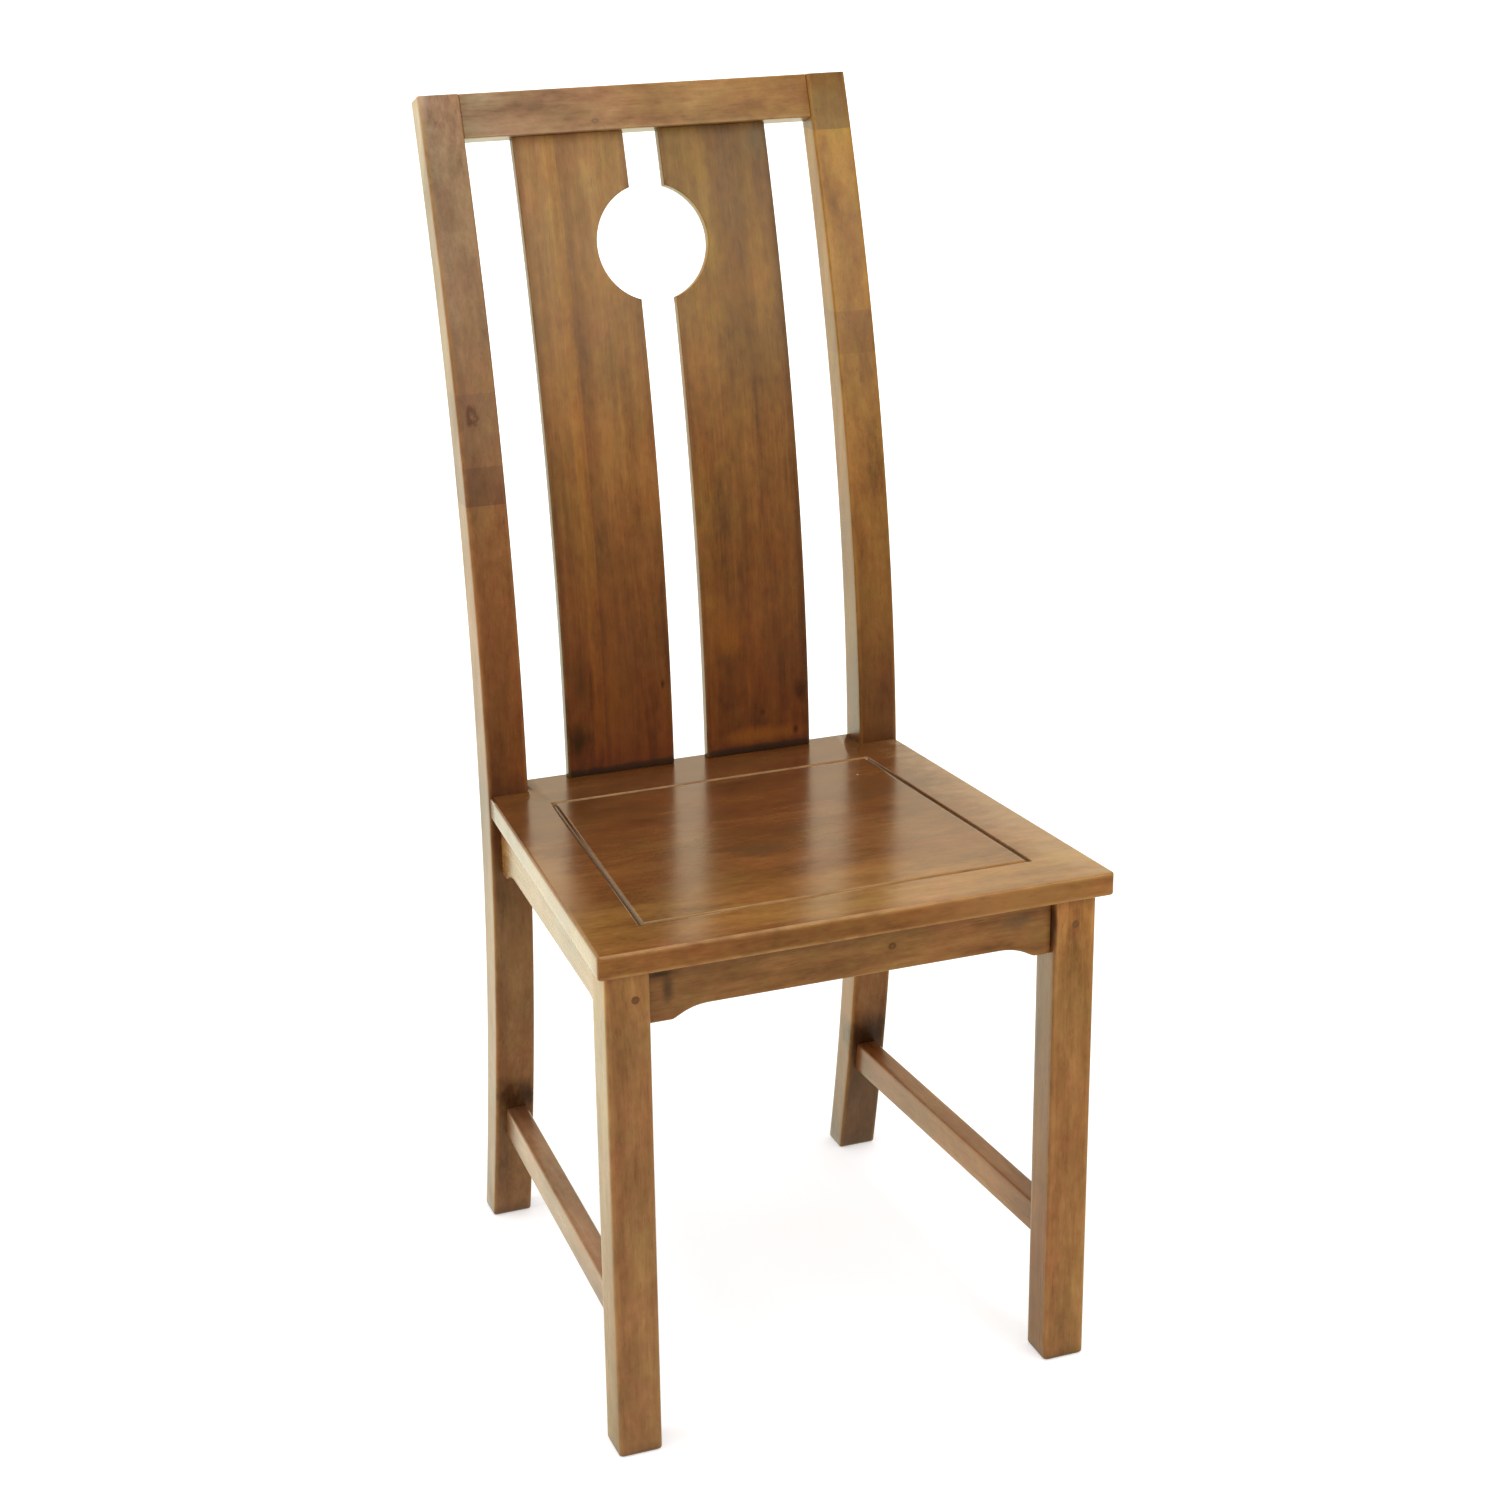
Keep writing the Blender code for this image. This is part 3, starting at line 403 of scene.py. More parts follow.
# %% Splats
SPLAT_WIDTH = 0.0997
SPLAT_THICKNESS = 0.009
SPLAT_SPACE = 0.032
SPLAT_SEAT_SETBACK = 0.0178
SPLAT_LOW_SLOPE, SPLAT_HIGH_SLOPE = 0.029, 0.333
SPLAT_ARRIS = 0.0009
KEYHOLE_RADIUS = 0.0509
KEYHOLE_HEIGHT = BACK_HEIGHT - 0.1318
HOLE_STATIONS, SPLAT_STATIONS = 49, 60
HOLE_CLEAR = 0.003
SPLAT_FOOT_TURN = 0.05
GAP = 0.0003
SPLAT_FOOT_Y = POST_SETBACK + SPLAT_SEAT_SETBACK
rail_under = RAIL_CENTRE - TOP_UP * RAIL_HEIGHT / 2
splat_top = rail_under - TOP_BACK * SPLAT_THICKNESS / 2


def splat_face(z):
    """Front face of the splats: one cubic of the height from the seat to the rail."""
    return cubic(z, SEAT_HEIGHT, splat_top[2], SPLAT_FOOT_Y, splat_top[1], SPLAT_LOW_SLOPE, SPLAT_HIGH_SLOPE)


def splat(side):
    """Board whose inner edge is the larger of half the slot and the half chord of the round opening."""
    sign = SIDES[side]
    seat_cut = np.array([0, 1.0, -SEAT_SLOPE]) / np.hypot(1, SEAT_SLOPE)
    low = SEAT_HEIGHT + GAP - SEAT_SLOPE * SPLAT_FOOT_Y
    high = splat_top[2] - GAP * TOP_UP[2]
    _, hole_slope = splat_face(KEYHOLE_HEIGHT)
    stretch = np.hypot(hole_slope, 1)
    turn = np.arccos(SPLAT_SPACE / 2 / KEYHOLE_RADIUS)
    chord = KEYHOLE_HEIGHT + KEYHOLE_RADIUS / stretch * np.sin(np.linspace(-turn, turn, HOLE_STATIONS))
    rest = np.linspace(low, high, SPLAT_STATIONS)
    rest = rest[(rest < chord[0] - HOLE_CLEAR) | (rest > chord[-1] + HOLE_CLEAR)]
    z, shrink = stations(np.unique(np.concatenate([rest, chord])), GAP, GAP)
    y, slope = splat_face(z)
    level = 1 - smooth((z - low) / SPLAT_FOOT_TURN)
    top_level = smooth((z - high + TOP_TURN) / TOP_TURN)
    deep, _ = through_board(slope, seat_cut, level, TOP_BACK, top_level)
    half = SPLAT_THICKNESS / 2
    off = (z - KEYHOLE_HEIGHT) * stretch
    half_chord = np.sqrt(np.clip(KEYHOLE_RADIUS**2 - off**2, 0, None))
    inner = np.maximum(SPLAT_SPACE / 2, half_chord)
    outer = SPLAT_SPACE / 2 + SPLAT_WIDTH
    centre = np.column_stack([sign * (outer + inner) / 2, y, z]) + deep * half
    board("splat_curved_" + side, centre, X, deep, (outer - inner) / 2, half, SPLAT_ARRIS, z, shrink, None,
          "splat_" + side, "back_wood")


for side in SIDES:
    splat(side)

# %% [markdown]
# The aprons tie the legs under the seat. Each is straight on top and cut away below, with ears that sweep down to the
# legs. The sweep is one smooth cubic curve that leaves the ear level and arrives level at the middle. The front
# apron's left ear is a little wider than its right one.

# %% Aprons
APRON_THICKNESS = 0.018
APRON_ARRIS = 0.0012
APRON_HEIGHT = 0.0422
SIDE_APRON_HEIGHT = 0.0512
FRONT_EAR_DROP = 0.0094
SIDE_EAR_DROP = 0.0125
EAR_WIDTH = 0.0135
LEFT_EAR_EXTRA = 0.006
EAR_RUN = 0.032
EAR_HANDLES = (0.004, 0.020)
LEG_REAR_Y = 0.0475
EAR_STATIONS, SWEEP_STATIONS, MIDDLE_STATIONS = 3, 17, 12


def lower_edge(start, end, height, drop, extra):
    """Places along an apron and the height of its lower edge there: ear, sweep, middle, sweep and ear."""
    t = np.linspace(0, 1, SWEEP_STATIONS)
    run = bezier(t, 0, EAR_HANDLES[0], EAR_RUN - EAR_HANDLES[1], EAR_RUN)
    rise = bezier(t, 0, 0, 1, 1) * drop
    near, far = start + EAR_WIDTH + extra + run, (end - EAR_WIDTH - run)[::-1]
    near_ear = np.linspace(start, start + EAR_WIDTH + extra, EAR_STATIONS + 1)[:-1]
    far_ear = np.linspace(end - EAR_WIDTH, end, EAR_STATIONS + 1)[1:]
    middle = np.linspace(near[-1], far[0], MIDDLE_STATIONS + 2)[1:-1]
    places = np.concatenate([near_ear, near, middle, far, far_ear])
    low = np.concatenate([0 * near_ear, rise, 0 * middle + drop, rise[::-1], 0 * far_ear])
    return places, APRON_TOP - height - drop + low


def apron(name, node, start, end, shape, place, grain, finish):
    """Board whose upper edge is straight and whose lower edge follows the ears, carried along its length.

    shape is its height at the middle, how far the ears drop below that and what the near ear has in extra width.
    """
    edge_at, edge = lower_edge(start, end, *shape)
    along, shrink = stations(edge_at, END_EASE, END_EASE)
    low = np.interp(along, edge_at, edge)
    centre = np.column_stack([*place(along), (APRON_TOP + low) / 2])
    half_sizes = APRON_THICKNESS / 2, (APRON_TOP - low) / 2
    if grain[0] is Z:
        half_sizes = half_sizes[::-1]
    board(name, centre, *grain[:2], *half_sizes, APRON_ARRIS, along, shrink, grain, node, "frame_wood",
          lambda points: finish(points, along))


def follow_seat(points):
    """Lower each point by the seat's fall at its distance back."""
    points[..., 2] -= SEAT_SLOPE * points[..., 1]
    return points


APRON_REACH = LEG_CENTRE_X - LEG_WIDTH / 2 - GAP
apron("apron_front", "front_apron", -APRON_REACH, APRON_REACH, (APRON_HEIGHT, FRONT_EAR_DROP, LEFT_EAR_EXTRA),
      lambda x: (x, 0 * x + LEG_CENTRE_Y), (Y, Z, X), lambda points, _: follow_seat(points))


def side_centre_x(y):
    """Line from the middle of the front leg to the middle of the rear post."""
    return LEG_CENTRE_X + (POST_CENTRE_X - LEG_CENTRE_X) * (y - LEG_REAR_Y) / (POST_SETBACK - LEG_REAR_Y)


APRON_MIDDLE_Z = APRON_TOP - (APRON_HEIGHT + FRONT_EAR_DROP) / 2
CUT_REACH = 0.03


def meet_post(points, along, end, middle_z):
    """Shift a side piece's rear end back by the post's slope times the height above the piece's middle line."""
    _, slope = post_face(middle_z)
    near_end = smooth((along - end + CUT_REACH) / CUT_REACH)[:, None]
    points[..., 1] += near_end * slope * (points[..., 2] - middle_z)
    return points


def side_apron(side):
    """Apron along the seat's side. Its lower edge stays level with the floor and its rear end meets the post."""
    start, end = LEG_REAR_Y + GAP, post_face(APRON_MIDDLE_Z)[0] - GAP

    def finish(points, along):
        share = (APRON_TOP - points[..., 2]) / (APRON_TOP - points[..., 2].min())
        points[..., 2] += np.clip(share, 0, 1) * (SEAT_SLOPE + tan(LEAN)) * points[..., 1]
        return follow_seat(meet_post(points, along, end, APRON_MIDDLE_Z))

    apron("apron_side_" + side, "side_apron_" + side, start, end, (SIDE_APRON_HEIGHT, SIDE_EAR_DROP, 0),
          lambda y: (SIDES[side] * side_centre_x(y), y), (Z, X, Y), finish)


for side in SIDES:
    side_apron(side)

# %% [markdown]
# Low on each side a stretcher runs from the front leg to the rear post and stops the legs from spreading.

# %% Side stretchers
STRETCHER_TOP = 0.1293
STRETCHER_HEIGHT = 0.029
STRETCHER_THICKNESS = 0.019
STRETCHER_ARRIS = 0.002
STRETCHER_MIDDLE = STRETCHER_TOP - STRETCHER_HEIGHT / 2


def side_stretcher(side):
    """Straight bar between leg and post, its rear end cut to the slope of the post there."""
    start, end = LEG_REAR_Y + GAP, post_face(STRETCHER_MIDDLE)[0] - GAP
    along, shrink = stations(np.linspace(start, end, STRAIGHT_STATIONS), END_EASE, END_EASE)
    centre = np.column_stack([SIDES[side] * side_centre_x(along), along, 0 * along + STRETCHER_MIDDLE])
    board("stretcher_side_" + side, centre, Z, X, STRETCHER_HEIGHT / 2, STRETCHER_THICKNESS / 2, STRETCHER_ARRIS,
          along, shrink, (Z, X, Y), "side_stretcher_" + side, "frame_wood",
          lambda points: meet_post(points, along, end, STRETCHER_MIDDLE))


for side in SIDES:
    side_stretcher(side)

# %% [markdown]
# The seat is one wide panel glued up from boards whose grain runs from side to side. Its outline is a closed curve
# with cut-outs for the posts. Every further ring is that outline moved inwards: over the lower arris, up the side, over
# the upper arris and down into the groove. A point moves so that it keeps its distance to both edges it lies on.

# %% Seat outline
SEAT_FRONT_WIDTH, SEAT_REAR_WIDTH = 0.440, 0.384
SEAT_THICKNESS = 0.020
SEAT_CORNER = 0.0035
SEAT_EASE = 0.001
SEAT_ARRIS = 0.0022
NOTCH_X, NOTCH_OVERCUT = 0.1584, 0.006
NOTCH_Y = post_face(np.array([SEAT_HEIGHT - SEAT_THICKNESS - NOTCH_OVERCUT, SEAT_HEIGHT]))[0].min() - GAP
GROOVE_INSETS = {"front": 0.049, "side": 0.047, "rear": 0.068}
GROOVE_WIDTH = 0.0045
GROOVE_DEPTH = 0.002
FRONT_CORNER, REAR_CORNER = 0.0012, 0.004
LONG_POINTS, SIDE_POINTS, CORNER_STEPS = 24, 20, 6
FLIP = np.array([-1, 1])


def seat_half_width(y):
    """Half the front width, less the taper's share at that distance back."""
    return (SEAT_FRONT_WIDTH + (SEAT_REAR_WIDTH - SEAT_FRONT_WIDTH) * y / SEAT_DEPTH) / 2


def between(a, b, count):
    """Points on a straight edge from a to b, without b."""
    share = np.linspace(0, 1, count + 1)[:-1, None]
    return np.array(a) * (1 - share) + np.array(b) * share


def rounded_corner(corner, before, after, radius):
    """Arc that joins the edge from before with the edge to after: centre plus radius times cosine and sine."""
    corner, before, after = (np.array(point, float) for point in (corner, before, after))
    back = (before - corner) / np.linalg.norm(before - corner)
    ahead = (after - corner) / np.linalg.norm(after - corner)
    half = np.arccos(np.clip(back @ ahead, -1, 1)) / 2
    centre = corner + (back + ahead) / np.linalg.norm(back + ahead) * radius / sin(half)
    first = corner + back * radius / tan(half) - centre
    last = corner + ahead * radius / tan(half) - centre
    share = np.linspace(0, 1, CORNER_STEPS + 1)[:, None]
    sweep = np.arccos(np.clip(first @ last / radius**2, -1, 1))
    return centre + (np.sin((1 - share) * sweep) * first + np.sin(share * sweep) * last) / sin(sweep)


def groove_figure(inset):
    """Points of the groove's figure, moved in by an inset, one for each point of the outline.

    It is a four-sided figure with sharp corners. The points beside a front corner are set out from that corner, so
    that they never cross when the figure shrinks.
    """
    front, rear = GROOVE_INSETS["front"] + inset, SEAT_DEPTH - GROOVE_INSETS["rear"] - inset
    near = np.array([seat_half_width(front) - GROOVE_INSETS["side"] - inset, front])
    far = np.array([seat_half_width(rear) - GROOVE_INSETS["side"] - inset, rear])
    down = (near - far) / np.linalg.norm(near - far)
    step = np.linspace(-FRONT_CORNER, FRONT_CORNER, CORNER_STEPS + 1)[:, None]
    soft = near + np.where(step < 0, step * (1, 0), -step * down)
    shy, beside = far + down * REAR_CORNER, far - (REAR_CORNER, 0)
    return np.concatenate([
        between(soft[0] * FLIP, soft[0], LONG_POINTS), soft[:-1], between(soft[-1], shy, SIDE_POINTS), [shy, far],
        between(beside, beside * FLIP, LONG_POINTS), [beside * FLIP, far * FLIP],
        between(shy * FLIP, soft[-1] * FLIP, SIDE_POINTS), soft[:0:-1] * FLIP])


def outline_figure():
    """Points of the seat's outline, and 1 where an edge belongs to a notch."""
    wide = seat_half_width(0.0)
    outer, inner, rear = np.array([[seat_half_width(NOTCH_Y), NOTCH_Y], [NOTCH_X, NOTCH_Y], [NOTCH_X, SEAT_DEPTH]])
    arc = rounded_corner((wide, 0), (-wide, 0), outer, SEAT_CORNER)
    parts = [
        (between(arc[0] * FLIP, arc[0], LONG_POINTS), 0), (arc[:-1], 0), (between(arc[-1], outer, SIDE_POINTS), 0),
        ([outer, inner], 1), (between(rear, rear * FLIP, LONG_POINTS), 0), ([rear * FLIP, inner * FLIP], 1),
        (between(outer * FLIP, arc[-1] * FLIP, SIDE_POINTS), 0), (arc[:0:-1] * FLIP, 0)]
    points = np.concatenate([part for part, _ in parts])
    return points, np.concatenate([np.full(len(part), held, float) for part, held in parts])


seat_outline, notch_edge = outline_figure()
print("seat outline:", len(seat_outline), "points, notches from", round(1000 * NOTCH_Y, 1), "mm back")


def inward(outline, held):
    """Way each point moves for one metre of inset: its product with both edge normals is 1, or 0 where held."""
    edge = np.roll(outline, -1, 0) - outline
    edge /= np.linalg.norm(edge, axis=1, keepdims=True)
    normal = np.stack([-edge[:, 1], edge[:, 0]], axis=-1)
    both = np.stack([np.roll(normal, 1, 0), normal], axis=1)
    wanted = 1 - np.stack([np.roll(held, 1), held], axis=1)
    return np.einsum("nij,nj->ni", np.linalg.pinv(both, rcond=1e-3), wanted)


# %% [markdown]
# The groove is a shallow cove cut by a small round bit. Its figure keeps its own insets, larger at the back, where the
# splats stand in the seat. Where it runs from front to back it cuts the fibres through, and there it is darker: it took
# more stain, and the darkness also paints the shade in the groove. Where it runs from side to side its edges are paler,
# from wear and as a painted highlight.

# %% Seat
EDGE_STEPS = 4
FRONT_EDGE = 0.001
GROOVE_RINGS = (-0.25, *np.linspace(0, 1, 9), 1.25)
GROOVE_POWER = 0.6
GROOVE_RUB_AND_HIGHLIGHT = 0.85
CUT_THROUGH, CUT_ALONG = 1.9, 0.5


def seat():
    """Rings from the underside over the edge and through the groove, each an inset and a height.

    The groove's depth is its full depth times the sine of half a turn, to a power that makes its floor rounder.
    """
    turn = np.linspace(0, np.pi / 2, EDGE_STEPS + 1)
    low, high, r = SEAT_HEIGHT - SEAT_THICKNESS, SEAT_HEIGHT, SEAT_ARRIS
    steps = [(r + SEAT_EASE, low, 0.0)]
    steps += [(r - r * sin(t), low + r - r * cos(t), 1.0) for t in turn]
    steps += [(0, low + r + SHOULDER, 0.0), (0, high - r - SHOULDER, 0.0)]
    steps += [(r - r * cos(t), high - r + r * sin(t), 1.0) for t in turn]
    steps += [(r + SEAT_EASE, high, 0.0)]
    move = inward(seat_outline, notch_edge)
    count = len(seat_outline)
    rings = [np.column_stack([seat_outline + move * inset, np.full(count, z)]) for inset, z, _ in steps]
    front_edge = (seat_outline[:, 1] < FRONT_EDGE).astype(float)
    wear = [amount * front_edge for _, _, amount in steps]
    endgrain = [np.zeros(count)] * len(rings)
    figure = groove_figure(0)
    run = np.abs(np.roll(figure, -1, 0) - np.roll(figure, 1, 0))
    across_grain = run[:, 1] > run[:, 0]
    for part in GROOVE_RINGS:
        inside = 0 < part < 1
        depth = GROOVE_DEPTH * sin(np.pi * part) ** GROOVE_POWER if inside else 0
        rings.append(np.column_stack([groove_figure(GROOVE_WIDTH * part), np.full(count, high - depth)]))
        # Paler where the groove runs along the grain: wear and a painted highlight.
        wear.append(np.where(across_grain, 0.0, GROOVE_RUB_AND_HIGHLIGHT) * (0 <= part <= 1))
        # Darker where it runs across the grain: more stain and painted shade in the groove.
        endgrain.append(np.where(across_grain, CUT_THROUGH, CUT_ALONG) * inside)
    points = np.stack(rings)
    timber = points[..., [1, 2, 0]].copy()
    skin("seat_panel", lean(follow_seat(points)), timber, np.stack(wear), np.stack(endgrain), "seat_board")


seat()

# %% [markdown]
# Twelve countersunk screws hold the corner blocks, out of sight from above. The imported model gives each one's place
# and length, and the skin adds what a plain shank lacks: a thread whose crest winds round the shank, and a cross in
# the head. The thread is one formula: the radius depends on the distance along the screw less the turn round it.

# %% Screws
SCREW_PITCH = 0.0016
SCREW_CORE, SCREW_SHANK, SCREW_HEAD = 0.0014, 0.00195, 0.0039
SCREW_HEAD_DEPTH, SCREW_POINT, SCREW_TIP = 0.0024, 0.004, 0.04
CREST_SHARPNESS = 3.2
PLAIN_SHARE, THREAD_FADE = 0.3, 0.002
CROSS_HALF, CROSS_REACH, CROSS_DEPTH = 0.0006, 0.0026, 0.0011
FACE_RINGS = SCREW_HEAD * np.array([0.05, 0.35, 0.6, 0.8, 0.96])
RIM_RINGS = np.array([0.0001, 0.0004])
NECK_RINGS = np.linspace(0.0005, SCREW_HEAD_DEPTH, 5)
SHANK_START, SHANK_END = 0.0028, 0.0002
RINGS_A_TURN, POINTS_ROUND = 7, 32


def screw(node):
    """Axis from the node's points, then radius as a function of the way along it and the angle round it."""
    points = np.array([vertex.co[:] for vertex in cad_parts[node].data.vertices])
    middle = points.mean(0)
    axis = np.linalg.svd(points - middle)[2][0]
    along = (points - middle) @ axis
    radial = np.linalg.norm(points - middle - along[:, None] * axis, axis=1)
    if along[radial.argmax()] > 0:
        axis, along = -axis, -along
    start, length = along.min(), np.ptp(along)
    crosswise = np.cross(axis, X if abs(axis[0]) < 0.8 else Y)
    crosswise /= np.linalg.norm(crosswise)
    third = np.cross(axis, crosswise)
    shank = np.append(np.arange(SHANK_START, length - SHANK_END, SCREW_PITCH / RINGS_A_TURN), length)
    t = np.concatenate([0 * FACE_RINGS, RIM_RINGS, NECK_RINGS, shank])
    neck = SCREW_HEAD + (SCREW_SHANK - SCREW_HEAD) * NECK_RINGS / SCREW_HEAD_DEPTH
    base = np.concatenate([FACE_RINGS, 0 * RIM_RINGS + SCREW_HEAD, neck, 0 * shank + SCREW_SHANK])
    angle = np.linspace(0, 2 * np.pi, POINTS_ROUND + 1)[:-1]
    T, A = np.meshgrid(t, angle, indexing="ij")
    phase = (T / SCREW_PITCH - A / (2 * np.pi)) % 1
    crest = np.clip(1 - CREST_SHARPNESS * np.abs(phase - 0.5), 0, 1)
    threaded = smooth((T - PLAIN_SHARE * length) / THREAD_FADE)
    radius = base[:, None] * (1 - threaded) + (SCREW_CORE + (SCREW_SHANK - SCREW_CORE) * crest) * threaded
    taper = np.clip((length - T) / SCREW_POINT, SCREW_TIP, 1)
    radius = np.where(T > SCREW_HEAD_DEPTH, radius * taper, radius)
    u, v = radius * np.cos(A), radius * np.sin(A)
    cross = (T == 0) & (np.minimum(np.abs(u), np.abs(v)) < CROSS_HALF) & (radius < CROSS_REACH)
    place = middle + (start + T + CROSS_DEPTH * cross)[..., None] * axis
    place = place + u[..., None] * crosswise + v[..., None] * third
    timber = np.stack([u, v, T], axis=-1)
    skin("fixing_" + node.removeprefix("screw_"), place, timber, 0 * T, 0 * T, node)


for node in sorted(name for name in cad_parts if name.startswith("screw_")):
    screw(node)

# %% [markdown]
# The studio. A pale disc is the floor. To the camera it shows as white, the way a photographer's sweep does, but it
# still catches the chair's shadow.

# %% Floor
FLOOR_RADIUS, FLOOR_POINTS = 12, 96
floor_mesh = bpy.data.meshes.new("floor")
turn = np.linspace(0, 2 * np.pi, FLOOR_POINTS + 1)[:-1]
rim = FLOOR_RADIUS * np.column_stack([np.cos(turn), np.sin(turn), 0 * turn])
floor_mesh.from_pydata(rim.tolist(), [], [list(range(FLOOR_POINTS))])
floor = bpy.data.objects.new("floor", floor_mesh)
bpy.context.scene.collection.objects.link(floor)
floor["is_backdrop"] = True
print("floor radius, m:", FLOOR_RADIUS)


# %% [markdown]
# A material is a tree of nodes. These few helpers add a node and join it up in one line, so that each finish below
# reads as a list of its layers.

# %% Node helpers
class Tree:
    """The nodes of a material or a world, with short ways to add the usual ones."""

    def __init__(self, owner, shader="Principled BSDF"):
        owner.use_nodes = True
        self.owner = owner
        self.nodes, self.links = owner.node_tree.nodes, owner.node_tree.links
        self.shader = self.nodes[shader]

    def put(self, value, socket):
        """Join a socket to another, or write a plain value into it. A colour's fourth part is always 1."""
        if isinstance(value, bpy.types.NodeSocket):
            self.links.new(value, socket)
        else:
            socket.default_value = (*value, 1.0) if socket.type == "RGBA" else value

    def new(self, kind, **settings):
        """New node with some of its properties or inputs given by name."""
        node = self.nodes.new("ShaderNode" + kind)
        for key, value in settings.items():
            if hasattr(node, key):
                setattr(node, key, value)
            else:
                self.put(value, node.inputs[key.replace("_", " ")])
        return node

    def add(self, kind, *values, out=0, **settings):
        """One output of a new node whose first inputs take the values in their order."""
        node = self.new(kind, **settings)
        for value, socket in zip(values, node.inputs):
            self.put(value, socket)
        return node.outputs[out]

    def maths(self, operation, *values, clamp=False):
        """One sum on single numbers."""
        return self.add("Math", *values, operation=operation, use_clamp=clamp)

    def vector(self, operation, *values, out=0):
        """One sum on vectors."""
        return self.add("VectorMath", *values, out=out, operation=operation)

    def split(self, vector, axis):
        """One part of a vector."""
        return self.add("SeparateXYZ", vector, out=axis)

    def attribute(self, name, out="Vector"):
        """What the skin noted on its vertices under a name."""
        return self.add("Attribute", out=out, attribute_name=name)

    def noise(self, vector, factors, detail=3.0, roughness=0.55, move=(0, 0, 0)):
        """Noise whose grains are as long along each axis as one over its factor."""
        scaled = self.vector("MULTIPLY_ADD", vector, factors, move)
        return self.add("TexNoise", out="Fac", Vector=scaled, Scale=1.0, Detail=detail, Roughness=roughness)

    def span(self, value, low, high, to_low=0.0, to_high=1.0, kind="LINEAR"):
        """Value stretched from one range to another, held at the ends."""
        return self.add("MapRange", value, low, high, to_low, to_high, interpolation_type=kind)

    def mix(self, share, a, b, blend="MIX"):
        """Two colours mixed by a share."""
        node = self.new("Mix", data_type="RGBA", blend_type=blend)
        for socket, value in ((0, share), (6, a), (7, b)):
            self.put(value, node.inputs[socket])
        return node.outputs[2]

    def times(self, a, b):
        """Two colours multiplied."""
        return self.mix(1.0, a, b, "MULTIPLY")

    def ramp(self, value, stops, kind="LINEAR"):
        """Colour by value, through stops of place and colour."""
        node = self.new("ValToRGB", Fac=value)
        node.color_ramp.interpolation = kind
        elements = node.color_ramp.elements
        while len(elements) < len(stops):
            elements.new(0.5)
        for element, (place, colour) in zip(elements, stops):
            element.position = place
            element.color = (*colour, 1.0)
        return node.outputs["Color"]

    def bump(self, height, distance):
        """Fine relief on the surface, from a height and its depth in metres."""
        relief = self.add("Bump", Height=height, Distance=distance, Strength=1.0)
        self.put(relief, self.shader.inputs["Normal"])

    def finish_with(self, **inputs):
        """Fill the shader's inputs by name."""
        for key, value in inputs.items():
            self.put(value, self.shader.inputs[key.replace("_", " ")])
        return self.owner


# %% [markdown]
# Stained hardwood under satin lacquer. Wood is built in layers here as it grew and as it was finished: broad stripes
# along the grain, fine fibres, short dark pores, and the stain, which took more in one place than in the next. All
# are noises stretched along the board. A ramp of four browns turns them into colour. Under a nearly black mark the
# polish is weaker: at knots and dark stain, and under the marks that are painted shadows, where this is painted shade
# in the reflection too. It is also dimmed on the posts' legs, as painted shade, and on the seat's edge.

# %% Stained wood
LACQUER, BARE_AND_SHADED, DARK_MARK_BELOW = (1.0, 0.9, 0.7), (0.15, 0.135, 0.105), 0.06
PORE, END_STAIN, RUBBED = (0.045, 0.016, 0.006), (0.06, 0.024, 0.009), (1.7, 1.9, 2.3)
LAYERS = {"broad": 1.4, "fibre": 0.35, "mottle": 0.65, "cloud": 0.8}
BROWNS = ((0.0, (0.50, 0.40, 0.34)), (0.35, (0.85, 0.80, 0.75)), (0.62, (1.07, 1.10, 1.12)), (1.0, (1.42, 1.62, 1.8)))
HUES = (0.95, 1.03, 0.93), (1.07, 0.96, 1.10)
WARMTHS = (0.97, 1.03, 1.0), (1.05, 0.96, 0.98)


def times(colour, factor):
    """Each part of a colour times its own factor."""
    return [part * share for part, share in zip(colour, factor)]


def from_centre(tree, place, centre, size):
    """Offset from a centre, counted in sizes along each direction, and its length."""
    shift = [-middle / length for middle, length in zip(centre, size)]
    offset = tree.vector("MULTIPLY_ADD", place, [1 / length for length in size], shift)
    return offset, tree.vector("LENGTH", offset, out="Value")


def toned(tree, colour, along, ragged, steps, kind):
    """Colour times a factor that changes along the board at the places in steps, with slightly ragged borders."""
    low, high = steps[0][0] - 1e-4, steps[-1][0] + 1e-4
    waver = 0.01 * (high - low) if kind == "EASE" else 0.001
    wavy = tree.maths("MULTIPLY_ADD", tree.maths("SUBTRACT", ragged, 0.5), waver, along)
    strongest = max(max(factor) for _, factor in steps)
    stops = [((at - low) / (high - low), [part / strongest for part in factor]) for at, factor in steps]
    factors = tree.ramp(tree.span(wavy, low, high), stops, kind)
    return tree.times(colour, tree.times(factors, [strongest] * 3))


